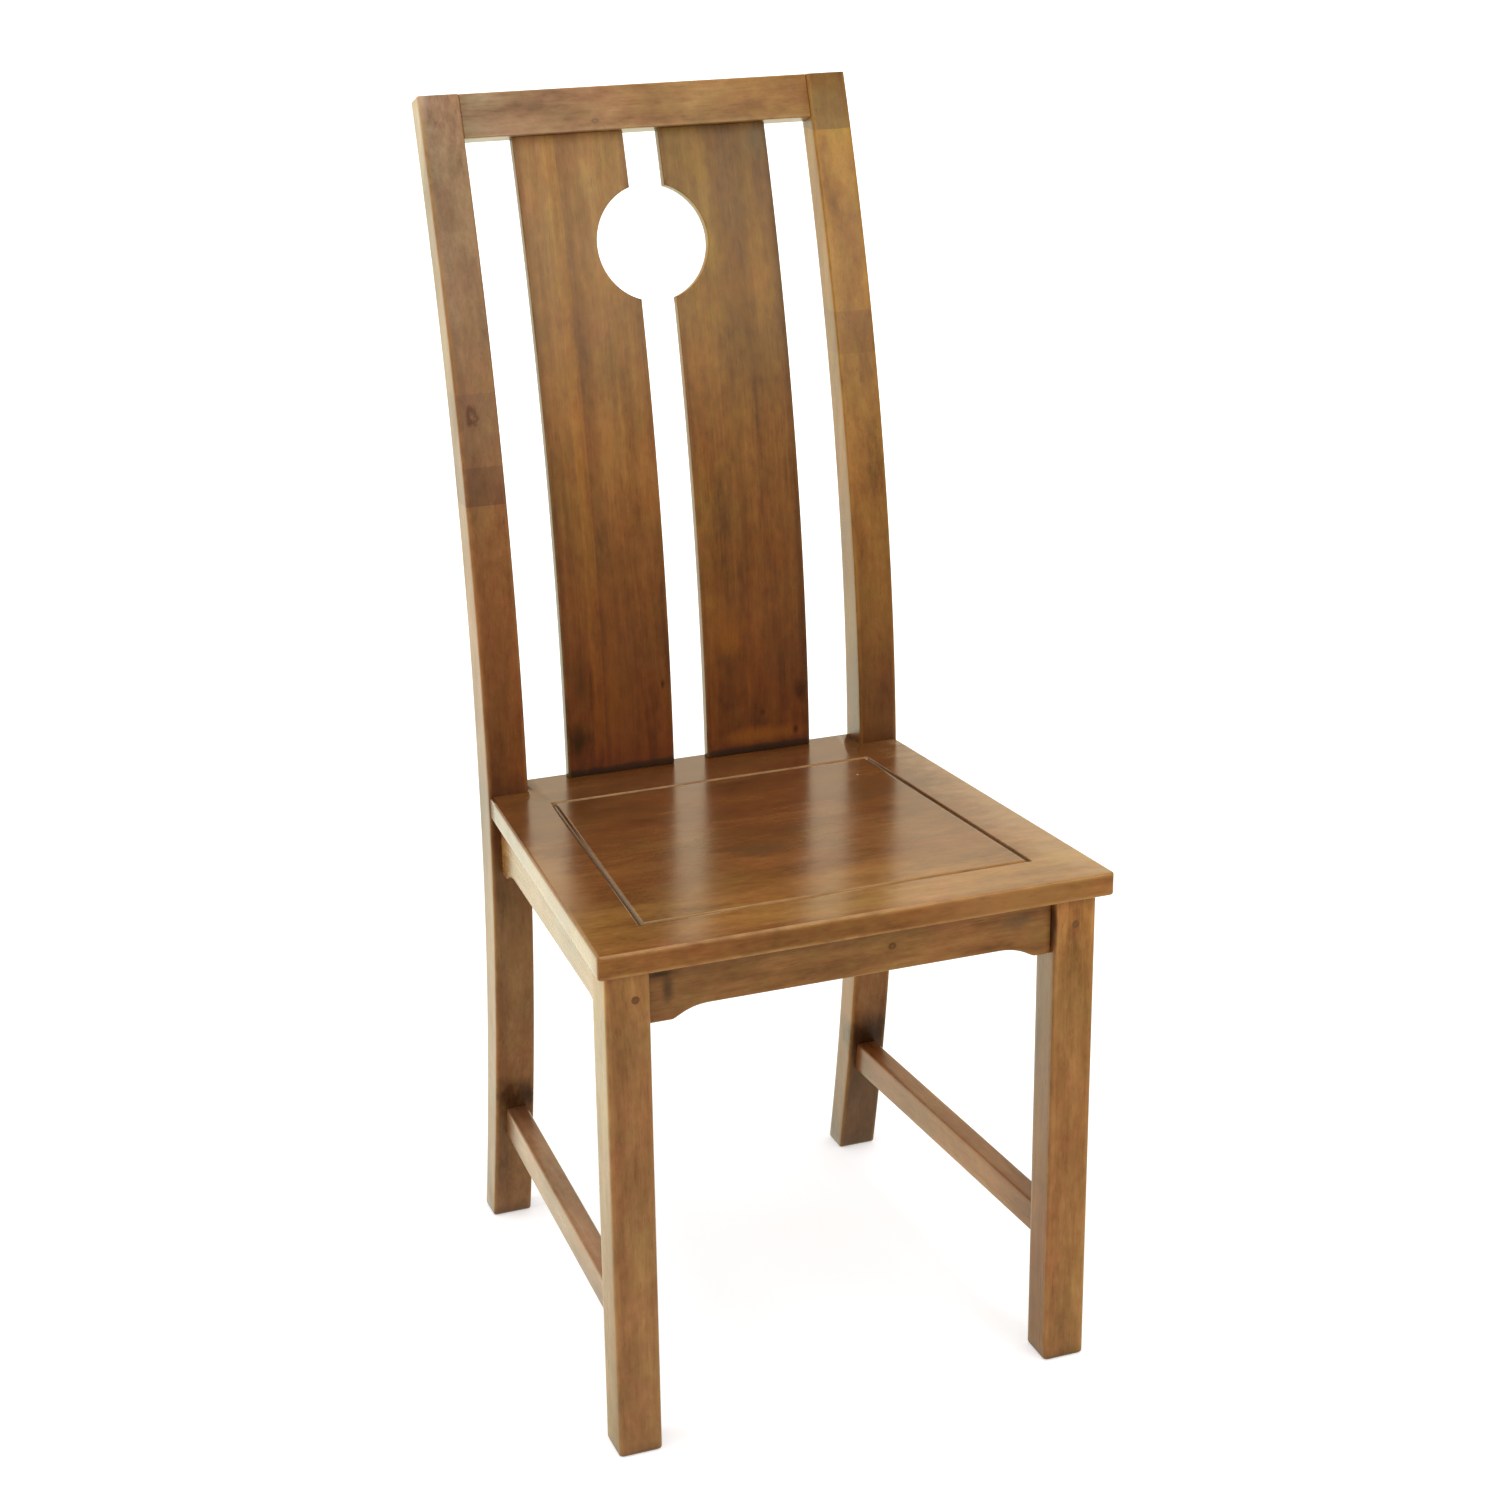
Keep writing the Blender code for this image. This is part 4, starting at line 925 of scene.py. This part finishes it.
def stained_wood(name, mean, seed, tint=(), blocks=(), marks=(), knots=(), stripes=55.0, run=4.5, contrast=1.3,
                 gloss=0.30, wear=0.3, ior=1.5, dimmed_lustre=()):
    """Colour from a ramp over the sum of stripes, fibres and blotches; roughness and bump from the same noises.

    mean is the stain's middle colour. tint and blocks multiply it, tint softly and blocks in steps: each is a
    direction and a list of places in metres with a factor for red, green and blue. A tint carries toner and, on some
    pieces, painted light and shade. A mark is a soft patch and a knot a ringed one: each has a centre and a size in
    the board's own directions, and a colour and its share. The last argument dims the lustre: a direction, two
    places and how much of the lustre is left before the first of them.
    """
    tree = Tree(bpy.data.materials.new(name))
    place = tree.attribute("timber")
    drift = tree.noise(place, (3.0, 3.0, 1.2), detail=2.0, move=(seed, 0, 0))
    shift = tree.maths("MULTIPLY_ADD", drift, 0.05, -0.025)
    warped = tree.vector("ADD", place, tree.add("CombineXYZ", shift, shift))
    patches = []
    for centre, size, colour, share in knots:
        offset, apart = from_centre(tree, place, centre, size)
        near = tree.span(apart, 1.6, 0.2, kind="SMOOTHSTEP")
        push = tree.maths("MULTIPLY", near, 0.35 * max(size[:2]))
        warped = tree.vector("MULTIPLY_ADD", offset, tree.add("CombineXYZ", push, push), warped)
        curl = tree.noise(place, (160.0, 160.0, 120.0), detail=2.0, move=(seed, 3, 1))
        rings = tree.maths("SINE", tree.maths("MULTIPLY_ADD", curl, 9.0, tree.maths("MULTIPLY", apart, 10.0)))
        eye = tree.span(tree.maths("MULTIPLY_ADD", curl, 0.5, apart), 1.2, 0.25, kind="SMOOTHSTEP")
        rings = tree.maths("MULTIPLY", tree.maths("MULTIPLY_ADD", rings, 0.35, 0.6), eye)
        patches.append((tree.maths("MULTIPLY", rings, share), colour))
    ragged = tree.noise(place, (90.0, 90.0, 45.0), detail=3.0, move=(1, seed, 0))
    for centre, size, colour, share in marks:
        apart = tree.maths("MULTIPLY_ADD", ragged, 0.9, from_centre(tree, place, centre, size)[1])
        patches.append((tree.maths("MULTIPLY", tree.span(apart, 1.45, 0.6, kind="SMOOTHSTEP"), share), colour))
    move = (seed, seed * 0.7, seed * 1.3)
    noises = {
        "broad": tree.noise(warped, (stripes, stripes, run), detail=4.0, roughness=0.6, move=move),
        "fibre": tree.noise(warped, (480.0, 480.0, 26.0), detail=3.0, roughness=0.6, move=move),
        "mottle": tree.noise(place, (150.0, 150.0, 75.0), detail=4.0, roughness=0.65, move=move),
        "cloud": tree.noise(place, (22.0, 22.0, 11.0), detail=3.0, move=move)}
    total = 0.0
    for layer, amount in LAYERS.items():
        total = tree.maths("MULTIPLY_ADD", noises[layer], amount, total)
    middle = sum(LAYERS.values()) / 2
    share = tree.span(total, middle - 0.55 / contrast, middle + 0.55 / contrast)
    colour = tree.ramp(share, [(at, times(mean, factor)) for at, factor in BROWNS])
    hue = tree.span(tree.noise(place, (85.0, 85.0, 45.0), detail=5.0, roughness=0.75, move=(seed, 5, 2)), 0.3, 0.7)
    warmth = tree.span(tree.noise(place, (16.0, 16.0, 9.0), detail=2.0, move=(2, seed, 9)), 0.35, 0.65)
    colour = tree.times(tree.times(colour, tree.mix(hue, *HUES)), tree.mix(warmth, *WARMTHS))
    for kind, changes in (("EASE", tint), ("CONSTANT", blocks)):
        for axis, steps in changes:
            colour = toned(tree, colour, tree.split(place, axis), ragged, steps, kind)
    lustre = LACQUER
    # Lustre dimmed below a place: painted shade on the posts' legs, and a duller edge on the seat.
    if dimmed_lustre:
        axis, low, high, least = dimmed_lustre
        share = tree.span(tree.split(place, axis), low, high, kind="SMOOTHSTEP")
        lustre = tree.mix(share, times(LACQUER, [least] * 3), LACQUER)
    # Under a near-black mark the lustre drops too: bare wood at knots, painted shade under painted shadows.
    for strength, stain in patches:
        colour = tree.mix(strength, colour, stain)
        if max(stain) < DARK_MARK_BELOW:
            lustre = tree.mix(strength, lustre, BARE_AND_SHADED)
    pores = tree.noise(warped, (1300.0, 1300.0, 70.0), detail=1.0, move=move)
    pore = tree.maths("MULTIPLY", tree.span(pores, 0.62, 0.72), 0.28)
    colour = tree.mix(pore, colour, PORE)
    end = tree.maths("MULTIPLY", tree.attribute("endgrain", "Fac"), 0.5, clamp=True)
    colour = tree.mix(end, colour, END_STAIN)
    arris = tree.maths("POWER", tree.attribute("wear", "Fac"), 3.0)
    rubbed = tree.maths("MULTIPLY", tree.maths("MULTIPLY", arris, wear, clamp=True), tree.span(ragged, 0.25, 0.6))
    colour = tree.mix(rubbed, colour, times(RUBBED, mean))
    smear = tree.noise(place, (35.0, 35.0, 20.0), detail=3.0, move=(7, 1, seed))
    rough = tree.span(tree.maths("ADD", noises["fibre"], smear), 0.6, 1.4, gloss - 0.05, gloss + 0.08)
    orange_peel = tree.noise(place, (260.0, 260.0, 200.0), detail=1.0)
    height = tree.maths("SUBTRACT", noises["fibre"], pore)
    tree.bump(tree.maths("MULTIPLY_ADD", orange_peel, 0.5, height), 0.00004)
    return tree.finish_with(Base_Color=colour, Roughness=rough, IOR=ior, Specular_Tint=lustre)


# %% [markdown]
# Each piece came out of its own plank, so each gets its own material: its stripes start elsewhere, and its stain is
# its own. The colour also changes slowly along the board: partly the toner sprayed after staining, and partly painted
# light and shade, darker towards the seat and at the joints, paler at the top of the back. Some marks and tints paint
# shadows and light on single faces, as noted at each piece. The posts are glued up from short blocks, and their colour
# steps at each joint.

# %% What each piece looks like
ACROSS, THROUGH, ALONG = 0, 1, 2
WALNUT, AMBER = (0.236, 0.103, 0.0255), (0.262, 0.115, 0.0265)
DARK, NEAR_BLACK, SHADOW_BROWN = (0.045, 0.018, 0.008), (0.02, 0.009, 0.005), (0.028, 0.009, 0.003)
GOLD, HONEY = (0.36, 0.17, 0.03), (0.25, 0.075, 0.004)
PLAIN = (1, 1, 1)
# Painted shade along the foot's chamfer, darkest at the floor and gone within two centimetres up.
FOOT_SHADE = (0.0, (0.25, 0.2, 0.2))
# Darker down the splats: partly the sprayed toner, partly painted shade towards the seat, with a painted dark crease
# where they stand in it. The paler, greyer top is a painted highlight from the light above.
SPLAT_TONER_AND_SHADE = (ALONG, [
    (0.445, (0.08, 0.05, 0.04)), (0.4505, (0.14, 0.07, 0.05)), (0.4545, (0.62, 0.32, 0.16)),
    (0.48, (0.66, 0.41, 0.23)), (0.6, (0.76, 0.58, 0.40)), (0.72, (0.93, 0.88, 0.74)), (0.85, (0.95, 0.98, 0.96)),
    (0.97, (1.12, 1.22, 1.4)), (1.01, (0.9, 0.95, 1.1))])
LOOKS = {
    "leg_front_left": dict(
        mean=WALNUT, seed=1.0, ior=1.56,
        # Lighter at the top: painted light lifting the shade under the seat. Paler, greyer outer face: painted light
        # from the lamp on the left.
        tint=[(ALONG, [FOOT_SHADE, (0.005, (0.85, 0.8, 0.8)), (0.012, (1.02, 1.02, 1.12)), (0.25, (1.06, 1.05, 1.2)),
                       (0.36, (1.1, 1.08, 1.2)), (0.43, (1.38, 1.28, 1.25))]),
              (ACROSS, [(-0.2107, (1.03, 1.25, 1.45)), (-0.209, PLAIN)])],
        marks=[((-0.19, 0.0135, 0.24), (0.012, 0.03, 0.06), DARK, 0.25)]),
    "leg_front_right": dict(
        mean=AMBER, seed=2.3, ior=1.47,
        # Lighter at the top: painted light lifting the shade under the seat. Darker inner face: painted shade in the
        # recess beside the apron's end.
        tint=[(ALONG, [FOOT_SHADE, (0.005, (0.85, 0.8, 0.8)), (0.012, (1.06, 1.02, 1.15)), (0.12, (1.08, 1.02, 1.15)),
                       (0.2, (1, 1.02, 1.12)), (0.33, (1.02, 1.03, 1.08)), (0.43, (1.62, 1.66, 1.7))]),
              (ACROSS, [(0.1736, (0.7, 0.58, 0.46)), (0.1755, (0.98, 0.93, 0.96)), (0.19, PLAIN),
                        (0.2107, (1.04, 1.04, 1.0))])],
        # Painted shade on the inner face, in front of the apron's end.
        marks=[((0.1737, 0.02, 0.405), (0.003, 0.03, 0.034), (0.05, 0.016, 0.008), 0.9)]),
    "post_rear_left": dict(
        # Dimmed lustre and a darker foot on the lower leg: painted shade. Darker just above the seat: toner and painted
        # shade. Paler and greyer at the top: a painted highlight where the back leans back into the light.
        mean=(0.235, 0.103, 0.032), seed=3.1, ior=1.46, stripes=40.0, dimmed_lustre=(ALONG, 0.16, 0.3, 0.45),
        tint=[(ALONG, [FOOT_SHADE, (0.008, (0.5, 0.38, 0.34)), (0.02, (0.88, 0.85, 0.98)), (0.16, (0.92, 0.9, 0.98)),
                       (0.3, (0.96, 1.04, 1.0)), (0.445, (0.5, 0.34, 0.24)), (0.47, (0.72, 0.5, 0.33)),
                       (0.62, (0.88, 0.74, 0.53)), (0.78, (0.98, 0.98, 0.98)), (0.80, (1.0, 1.04, 1.1)),
                       (0.93, (1.0, 1.22, 1.72)), (1.035, (1.42, 2.08, 3.7))]),
              (ACROSS, [(-0.195, (1.0, 1.0, 0.95)), (-0.1885, (0.88, 0.88, 0.95)), (-0.1787, PLAIN),
                        (-0.1587, (1.06, 1.06, 1.0))])],
        blocks=[(ALONG, [(0.0, PLAIN), (0.6975, (0.66, 0.64, 0.76)), (0.7305, (0.82, 0.82, 0.95)), (0.79, PLAIN),
                         (1.036, PLAIN)])],
        # Painted shadow of the stretcher on the post's face, just above it.
        marks=[((-0.175, 0.392, 0.139), (0.05, 0.03, 0.030), SHADOW_BROWN, 0.92)],
        knots=[((-0.1824, 0.422, 0.7744), (0.011, 0.03, 0.020), (0.05, 0.018, 0.010), 0.9)]),
    "post_rear_right": dict(
        # Dimmed lustre and a much darker colour on the lower leg: painted shade. Darker just above the seat: toner and
        # painted shade.
        mean=(0.25, 0.108, 0.0185), seed=4.7, stripes=40.0, dimmed_lustre=(ALONG, 0.3, 0.42, 0.35),
        tint=[(ALONG, [FOOT_SHADE, (0.006, (0.35, 0.3, 0.6)), (0.04, (0.42, 0.42, 1.0)), (0.13, (0.47, 0.47, 1.1)),
                       (0.18, (0.85, 0.78, 1.4)), (0.3, (1.05, 1.0, 1.6)), (0.445, (0.4, 0.26, 0.2)),
                       (0.47, (0.56, 0.42, 0.3)), (0.6, (0.82, 0.76, 0.65)), (0.72, (1.08, 1.06, 0.9)),
                       (1.035, (1.03, 1.05, 0.75))])],
        blocks=[(ALONG, [(0.0, PLAIN), (0.796, (0.88, 0.82, 0.78)), (0.83, (1.05, 1.05, 0.95)),
                         (0.987, (0.64, 0.66, 0.78)), (1.036, PLAIN)])],
        # The first mark pales the inner face: painted light from the lamp on the left.
        marks=[((0.1587, 0.4, 0.2), (0.003, 0.2, 0.25), (0.33, 0.140, 0.030), 0.55),
               # Painted shadow of the stretcher on the post's face, just above it.
               ((0.175, 0.405, 0.138), (0.04, 0.03, 0.030), SHADOW_BROWN, 0.92),
               ((0.183, 0.47, 0.955), (0.008, 0.03, 0.018), GOLD, 0.4),
               ((0.178, 0.46, 0.925), (0.006, 0.03, 0.01), GOLD, 0.3)]),
    "rail_top": dict(
        mean=(0.275, 0.130, 0.038), seed=5.9, run=14.0, stripes=45.0,
        tint=[(ALONG, [(-0.159, (0.98, 1.25, 2.3)), (-0.10, (1.0, 1.16, 1.8)), (0.02, (1.0, 1.02, 1.0)),
                       (0.159, (1.04, 1.0, 0.7))])],
        marks=[((0.122, 1.1308, -0.0967), (0.03, 0.007, 0.012), (0.16, 0.08, 0.045), 0.35),
               ((0.122, 1.112, 0.1135), (0.03, 0.005, 0.03), GOLD, 0.3)],
        knots=[((0.122, 1.1137, -0.0407), (0.03, 0.006, 0.008), (0.07, 0.026, 0.012), 0.8)]),
    "splat_curved_left": dict(
        mean=(0.236, 0.098, 0.0175), seed=6.2, stripes=48.0, run=2.5, contrast=1.4,
        tint=[SPLAT_TONER_AND_SHADE,
              (ACROSS, [(-0.1158, (0.62, 0.56, 0.5)), (-0.107, (0.98, 0.97, 0.95)), (-0.024, PLAIN),
                        (-0.0155, (0.82, 0.78, 0.75))])],
        blocks=[(ACROSS, [(-0.116, (0.98, 0.96, 0.98)), (-0.0905, (1.13, 1.14, 0.9)), (-0.0797, (0.89, 0.86, 0.9)),
                          (-0.047, PLAIN), (-0.015, PLAIN)])],
        marks=[((-0.072, 0, 0.55), (0.009, 0.03, 0.1), HONEY, 0.3),
               ((-0.102, 0, 0.535), (0.012, 0.03, 0.04), (0.045, 0.024, 0.008), 0.4),
               ((-0.106, 0, 0.480), (0.014, 0.03, 0.024), (0.03, 0.016, 0.006), 0.8),
               ((-0.091, 0, 0.525), (0.0035, 0.03, 0.04), NEAR_BLACK, 0.4),
               ((-0.0243, 0, 0.5218), (0.003, 0.02, 0.006), NEAR_BLACK, 0.8)]),
    "splat_curved_right": dict(
        mean=(0.205, 0.084, 0.0125), seed=7.7, stripes=48.0, run=2.5, contrast=1.6,
        tint=[SPLAT_TONER_AND_SHADE, (ALONG, [(0.78, PLAIN), (0.86, (0.95, 0.94, 0.5)), (0.97, (0.70, 0.72, 0.45))]),
              (ACROSS, [(0.0155, (0.9, 0.85, 0.8)), (0.022, (1.12, 1.16, 1.1)), (0.05, (1.04, 1.04, 1.0)),
                        (0.07, (0.95, 0.92, 0.9)), (0.106, (0.97, 0.95, 0.95)), (0.1158, (0.72, 0.68, 0.7))])],
        marks=[((0.040, 0, 0.563), (0.021, 0.03, 0.038), HONEY, 0.5),
               ((0.043, 0, 0.552), (0.014, 0.03, 0.022), HONEY, 0.35),
               ((0.029, 0, 0.72), (0.012, 0.03, 0.05), HONEY, 0.3),
               ((0.108, 0, 0.498), (0.010, 0.03, 0.014), NEAR_BLACK, 0.6),
               ((0.1035, 0, 0.985), (0.016, 0.03, 0.022), (0.10, 0.06, 0.022), 0.45),
               ((0.07, 0, 0.462), (0.055, 0.03, 0.011), (0.24, 0.068, 0.005), 0.8),
               ((0.102, 0, 0.4626), (0.004, 0.02, 0.006), NEAR_BLACK, 0.8)],
        knots=[((0.0702, 0, 0.4822), (0.005, 0.02, 0.006), (0.05, 0.018, 0.006), 0.8)]),
    "apron_front": dict(
        mean=(0.225, 0.095, 0.0215), seed=8.4, run=8.0,
        tint=[(ALONG, [(-0.174, (0.97, 0.93, 1.12)), (-0.1, (1.0, 0.97, 1.05)), (0.174, (1.17, 1.19, 1.25))])],
        # The first two marks are painted shade at the left end, under the seat's overhang and in the ear.
        marks=[((0.0215, 0.4205, -0.164), (0.02, 0.0045, 0.018), (0.04, 0.024, 0.014), 0.85),
               ((0.0215, 0.406, -0.1575), (0.02, 0.016, 0.007), (0.055, 0.032, 0.017), 0.75),
               ((0.0215, 0.4133, 0.1426), (0.02, 0.011, 0.022), (0.10, 0.058, 0.028), 0.6)],
        knots=[((0.0215, 0.4107, 0.033), (0.02, 0.005, 0.006), (0.03, 0.012, 0.006), 1.0)]),
    "apron_side_left": dict(mean=WALNUT, seed=9.6, gloss=0.25, ior=1.62),
    "apron_side_right": dict(mean=WALNUT, seed=10.2),
    "stretcher_side_left": dict(
        mean=(0.255, 0.122, 0.055), seed=11.5, wear=0.0,
        # Darker at both ends: painted shade where the stretcher meets the leg and the post.
        tint=[(ALONG, [(0.055, (0.78, 0.70, 0.6)), (0.08, (1.0, 0.98, 0.92)), (0.32, (1.0, 0.98, 0.92)),
                       (0.395, (0.6, 0.52, 0.45))])]),
    "stretcher_side_right": dict(
        mean=WALNUT, seed=12.8, wear=0.0,
        # Darker at both ends: painted shade where the stretcher meets the leg and the post.
        tint=[(ALONG, [(0.055, (0.70, 0.58, 0.52)), (0.11, (0.94, 0.84, 0.88)), (0.2, (1.1, 0.98, 1.1)),
                       (0.33, (1.1, 0.98, 1.1)), (0.397, (0.6, 0.5, 0.48))])]),
    "seat_panel": dict(
        mean=(0.235, 0.102, 0.0235), seed=13.1, stripes=40.0, run=9.0, gloss=0.2, ior=1.62, contrast=1.2, wear=0.8,
        dimmed_lustre=(THROUGH, 0.4485, 0.4508, 0.62),
        # Darker from front to back: painted shade from the back over the rear of the seat. Paler towards the right: a
        # painted sheen.
        tint=[(ACROSS, [(0.0, (0.90, 0.80, 0.74)), (0.004, (0.88, 0.80, 0.72)), (0.012, (1.0, 1.0, 0.88)),
                        (0.045, (1.05, 1.1, 0.95)), (0.12, (0.67, 0.56, 0.47)), (0.3, (0.52, 0.38, 0.27)),
                        (0.41, (0.50, 0.36, 0.26))]),
              (ALONG, [(-0.22, (1.0, 1.0, 0.9)), (-0.2165, (1.0, 0.98, 0.95)), (-0.165, PLAIN), (0.0, PLAIN),
                       (0.07, (1.08, 1.08, 1.05)), (0.15, (1.1, 1.12, 1.05)), (0.21, (1.3, 1.35, 1.45))])],
        marks=[((0.163, 0.45, -0.024), (0.020, 0.05, 0.042), (0.062, 0.028, 0.011), 0.55),
               # This mark and the next, pale patches at the right and left margins, are a painted sheen.
               ((0.2, 0.4527, 0.215), (0.32, 0.004, 0.06), (0.43, 0.27, 0.13), 0.6),
               ((0.17, 0.45, -0.205), (0.12, 0.05, 0.032), (0.33, 0.16, 0.055), 0.5),
               ((0.0, 0.442, 0.12), (0.004, 0.02, 0.1), (0.34, 0.155, 0.045), 0.6),
               ((0.3398, 0.45, 0.1481), (0.002, 0.02, 0.002), (0.6, 0.5, 0.4), 0.9),
               ((0.3011, 0.45, 0.1226), (0.0018, 0.02, 0.0015), (0.6, 0.5, 0.4), 0.8)]),
}
for name, look in LOOKS.items():
    made[name].data.materials.append(stained_wood(name.replace("_", " ") + " finish", **look))
print("stained pieces:", len(LOOKS))

# %% [markdown]
# The parts that nobody sees were never stained by hand. The blocks are bare sawn wood, the rear apron has a plain
# dark stain, as the little pegs in the legs have, and the screws are plated steel. The blocks, the pegs and the rear
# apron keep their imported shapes, so their pattern reads the plain place in space. The screws read their own length.

# %% Raw wood, dark stain and steel
def raw_wood():
    """Pale sawn timber: saw marks across fine fibres."""
    tree = Tree(bpy.data.materials.new("raw wood"))
    place = tree.add("TexCoord", out="Object")
    fibre = tree.noise(place, (60.0, 300.0, 500.0))
    saw = tree.noise(place, (700.0, 20.0, 20.0), detail=1.0)
    both = tree.maths("MULTIPLY_ADD", fibre, 0.7, tree.maths("MULTIPLY", saw, 0.3))
    colour = tree.ramp(both, [(0.3, (0.3, 0.17, 0.075)), (0.5, (0.43, 0.27, 0.13)), (0.7, (0.55, 0.37, 0.2))])
    tree.bump(saw, 0.0002)
    return tree.finish_with(Base_Color=colour, Roughness=tree.span(fibre, 0.3, 0.7, 0.6, 0.8), IOR=1.45)


def dark_wood():
    """Dark stain over fine grain along X."""
    tree = Tree(bpy.data.materials.new("dark wood"))
    place = tree.add("TexCoord", out="Object")
    fibre = tree.noise(place, (7.0, 420.0, 420.0))
    broad = tree.noise(place, (1.6, 60.0, 60.0))
    both = tree.maths("MULTIPLY_ADD", fibre, 0.4, tree.maths("MULTIPLY", broad, 0.6))
    colour = tree.ramp(both, [(0.3, (0.10, 0.036, 0.011)), (0.5, (0.15, 0.055, 0.016)), (0.75, (0.20, 0.08, 0.024))])
    tree.bump(fibre, 0.00005)
    rough = tree.span(fibre, 0.3, 0.7, 0.26, 0.38)
    return tree.finish_with(Base_Color=colour, Roughness=rough, IOR=1.5, Specular_Tint=LACQUER)


def plated_steel():
    """Zinc plate: bright metal with faint clouds."""
    tree = Tree(bpy.data.materials.new("plated steel"))
    cloud = tree.noise(tree.attribute("timber"), (900.0, 900.0, 500.0), detail=2.0)
    colour = tree.ramp(cloud, [(0.3, (0.36, 0.35, 0.32)), (0.7, (0.5, 0.49, 0.47))])
    tree.bump(cloud, 0.00003)
    return tree.finish_with(Base_Color=colour, Metallic=1.0, Roughness=tree.span(cloud, 0.3, 0.7, 0.3, 0.45))


steel = plated_steel()
for name, item in made.items():
    if name.startswith("fixing_"):
        item.data.materials.append(steel)
for starts, finish in (("corner_block_", raw_wood()), (("rear_apron", "tenon_peg_"), dark_wood())):
    for name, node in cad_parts.items():
        if name.startswith(starts):
            node.material_slots[0].material = finish

# %% [markdown]
# The light is a white room with three large soft boxes: one to the left, which pales the left-hand faces but shows in
# no polish, one overhead, and one before the chair. The world behind the chair is white, and dimmer in front.

# %% Floor finish, world and lamps
def floor_finish():
    """Pale grey. The camera sees it near white, and polish mirrors it warm: dark in front, bright behind the chair."""
    tree = Tree(bpy.data.materials.new("floor"))
    path = tree.new("LightPath").outputs
    place = tree.add("TexCoord", out="Object")
    mirrored = tree.maths("MAXIMUM", path["Is Glossy Ray"], path["Is Transmission Ray"])
    behind = tree.span(tree.split(place, 1), -0.6, 0.4, 0.0, 1.65)
    far = tree.span(tree.vector("LENGTH", place, out="Value"), 0.5, 3.0, 0.4, 0.95)
    strength = tree.maths("MULTIPLY_ADD", mirrored, behind, tree.maths("MULTIPLY", path["Is Camera Ray"], far))
    colour = tree.ramp(tree.noise(place, (30.0, 30.0, 30.0), detail=2.0), [(0.0, [0.86] * 3), (1.0, [0.9] * 3)])
    colour = tree.mix(mirrored, colour, (0.45, 0.42, 0.34))
    glow = tree.mix(path["Is Camera Ray"], (0.92, 1.0, 0.80), (1.0, 1.0, 1.0))
    return tree.finish_with(Base_Color=colour, Roughness=0.9, Specular_IOR_Level=0.0,
                            Emission_Color=glow, Emission_Strength=strength)


floor.data.materials.append(floor_finish())


def studio_world():
    """White to the camera; to gloss, white behind and grey in front; to everything else an even soft light."""
    tree = Tree(bpy.data.worlds.new("studio"), "Background")
    path = tree.new("LightPath").outputs
    behind = tree.span(tree.split(tree.add("TexCoord", out="Generated"), 1), -0.3, 0.5, 0.45, 1.3)
    gloss = tree.span(path["Is Glossy Ray"], 0, 1, 0.74, behind)
    colour = tree.mix(path["Is Glossy Ray"], (1.0, 1.0, 1.0), (1.0, 0.87, 0.64))
    return tree.finish_with(Color=colour, Strength=tree.span(path["Is Camera Ray"], 0, 1, gloss, 1.0))


bpy.context.scene.world = studio_world()


def soft_box(name, place, aim, size, power, mirrored=True):
    """Square area lamp, turned to face a point."""
    lamp = bpy.data.lights.new(name, "AREA")
    lamp.shape, lamp.energy = "RECTANGLE", power
    lamp.size, lamp.size_y = size
    item = bpy.data.objects.new(name, lamp)
    item.location = place
    way = np.array(place) - np.array(aim)
    item.rotation_euler = (np.arctan2(np.hypot(way[0], way[1]), way[2]), 0, np.arctan2(way[0], -way[1]))
    item.visible_glossy = mirrored
    bpy.context.scene.collection.objects.link(item)
    print(f"{name}: {power} watts")


soft_box("left_box", (-2.6, 0.3, 1.2), (0, 0, 0.5), (2.0, 2.0), 32.0, mirrored=False)
soft_box("top_box", (0.0, -0.3, 2.9), (0, -0.05, 0.4), (2.2, 2.2), 20.0)
soft_box("front_box", (1.0, -2.7, 2.1), (0, 0, 0.8), (2.0, 1.2), 21.0)
bpy.context.scene.view_settings.view_transform = "Standard"

# %% Sizes
shown_low, shown_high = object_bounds()
pairs = zip([*shown_low, *shown_high], [*cad_low, *cad_high])
print("dressed less packed, mm:", [round(1000 * (shown - packed), 2) for shown, packed in pairs])
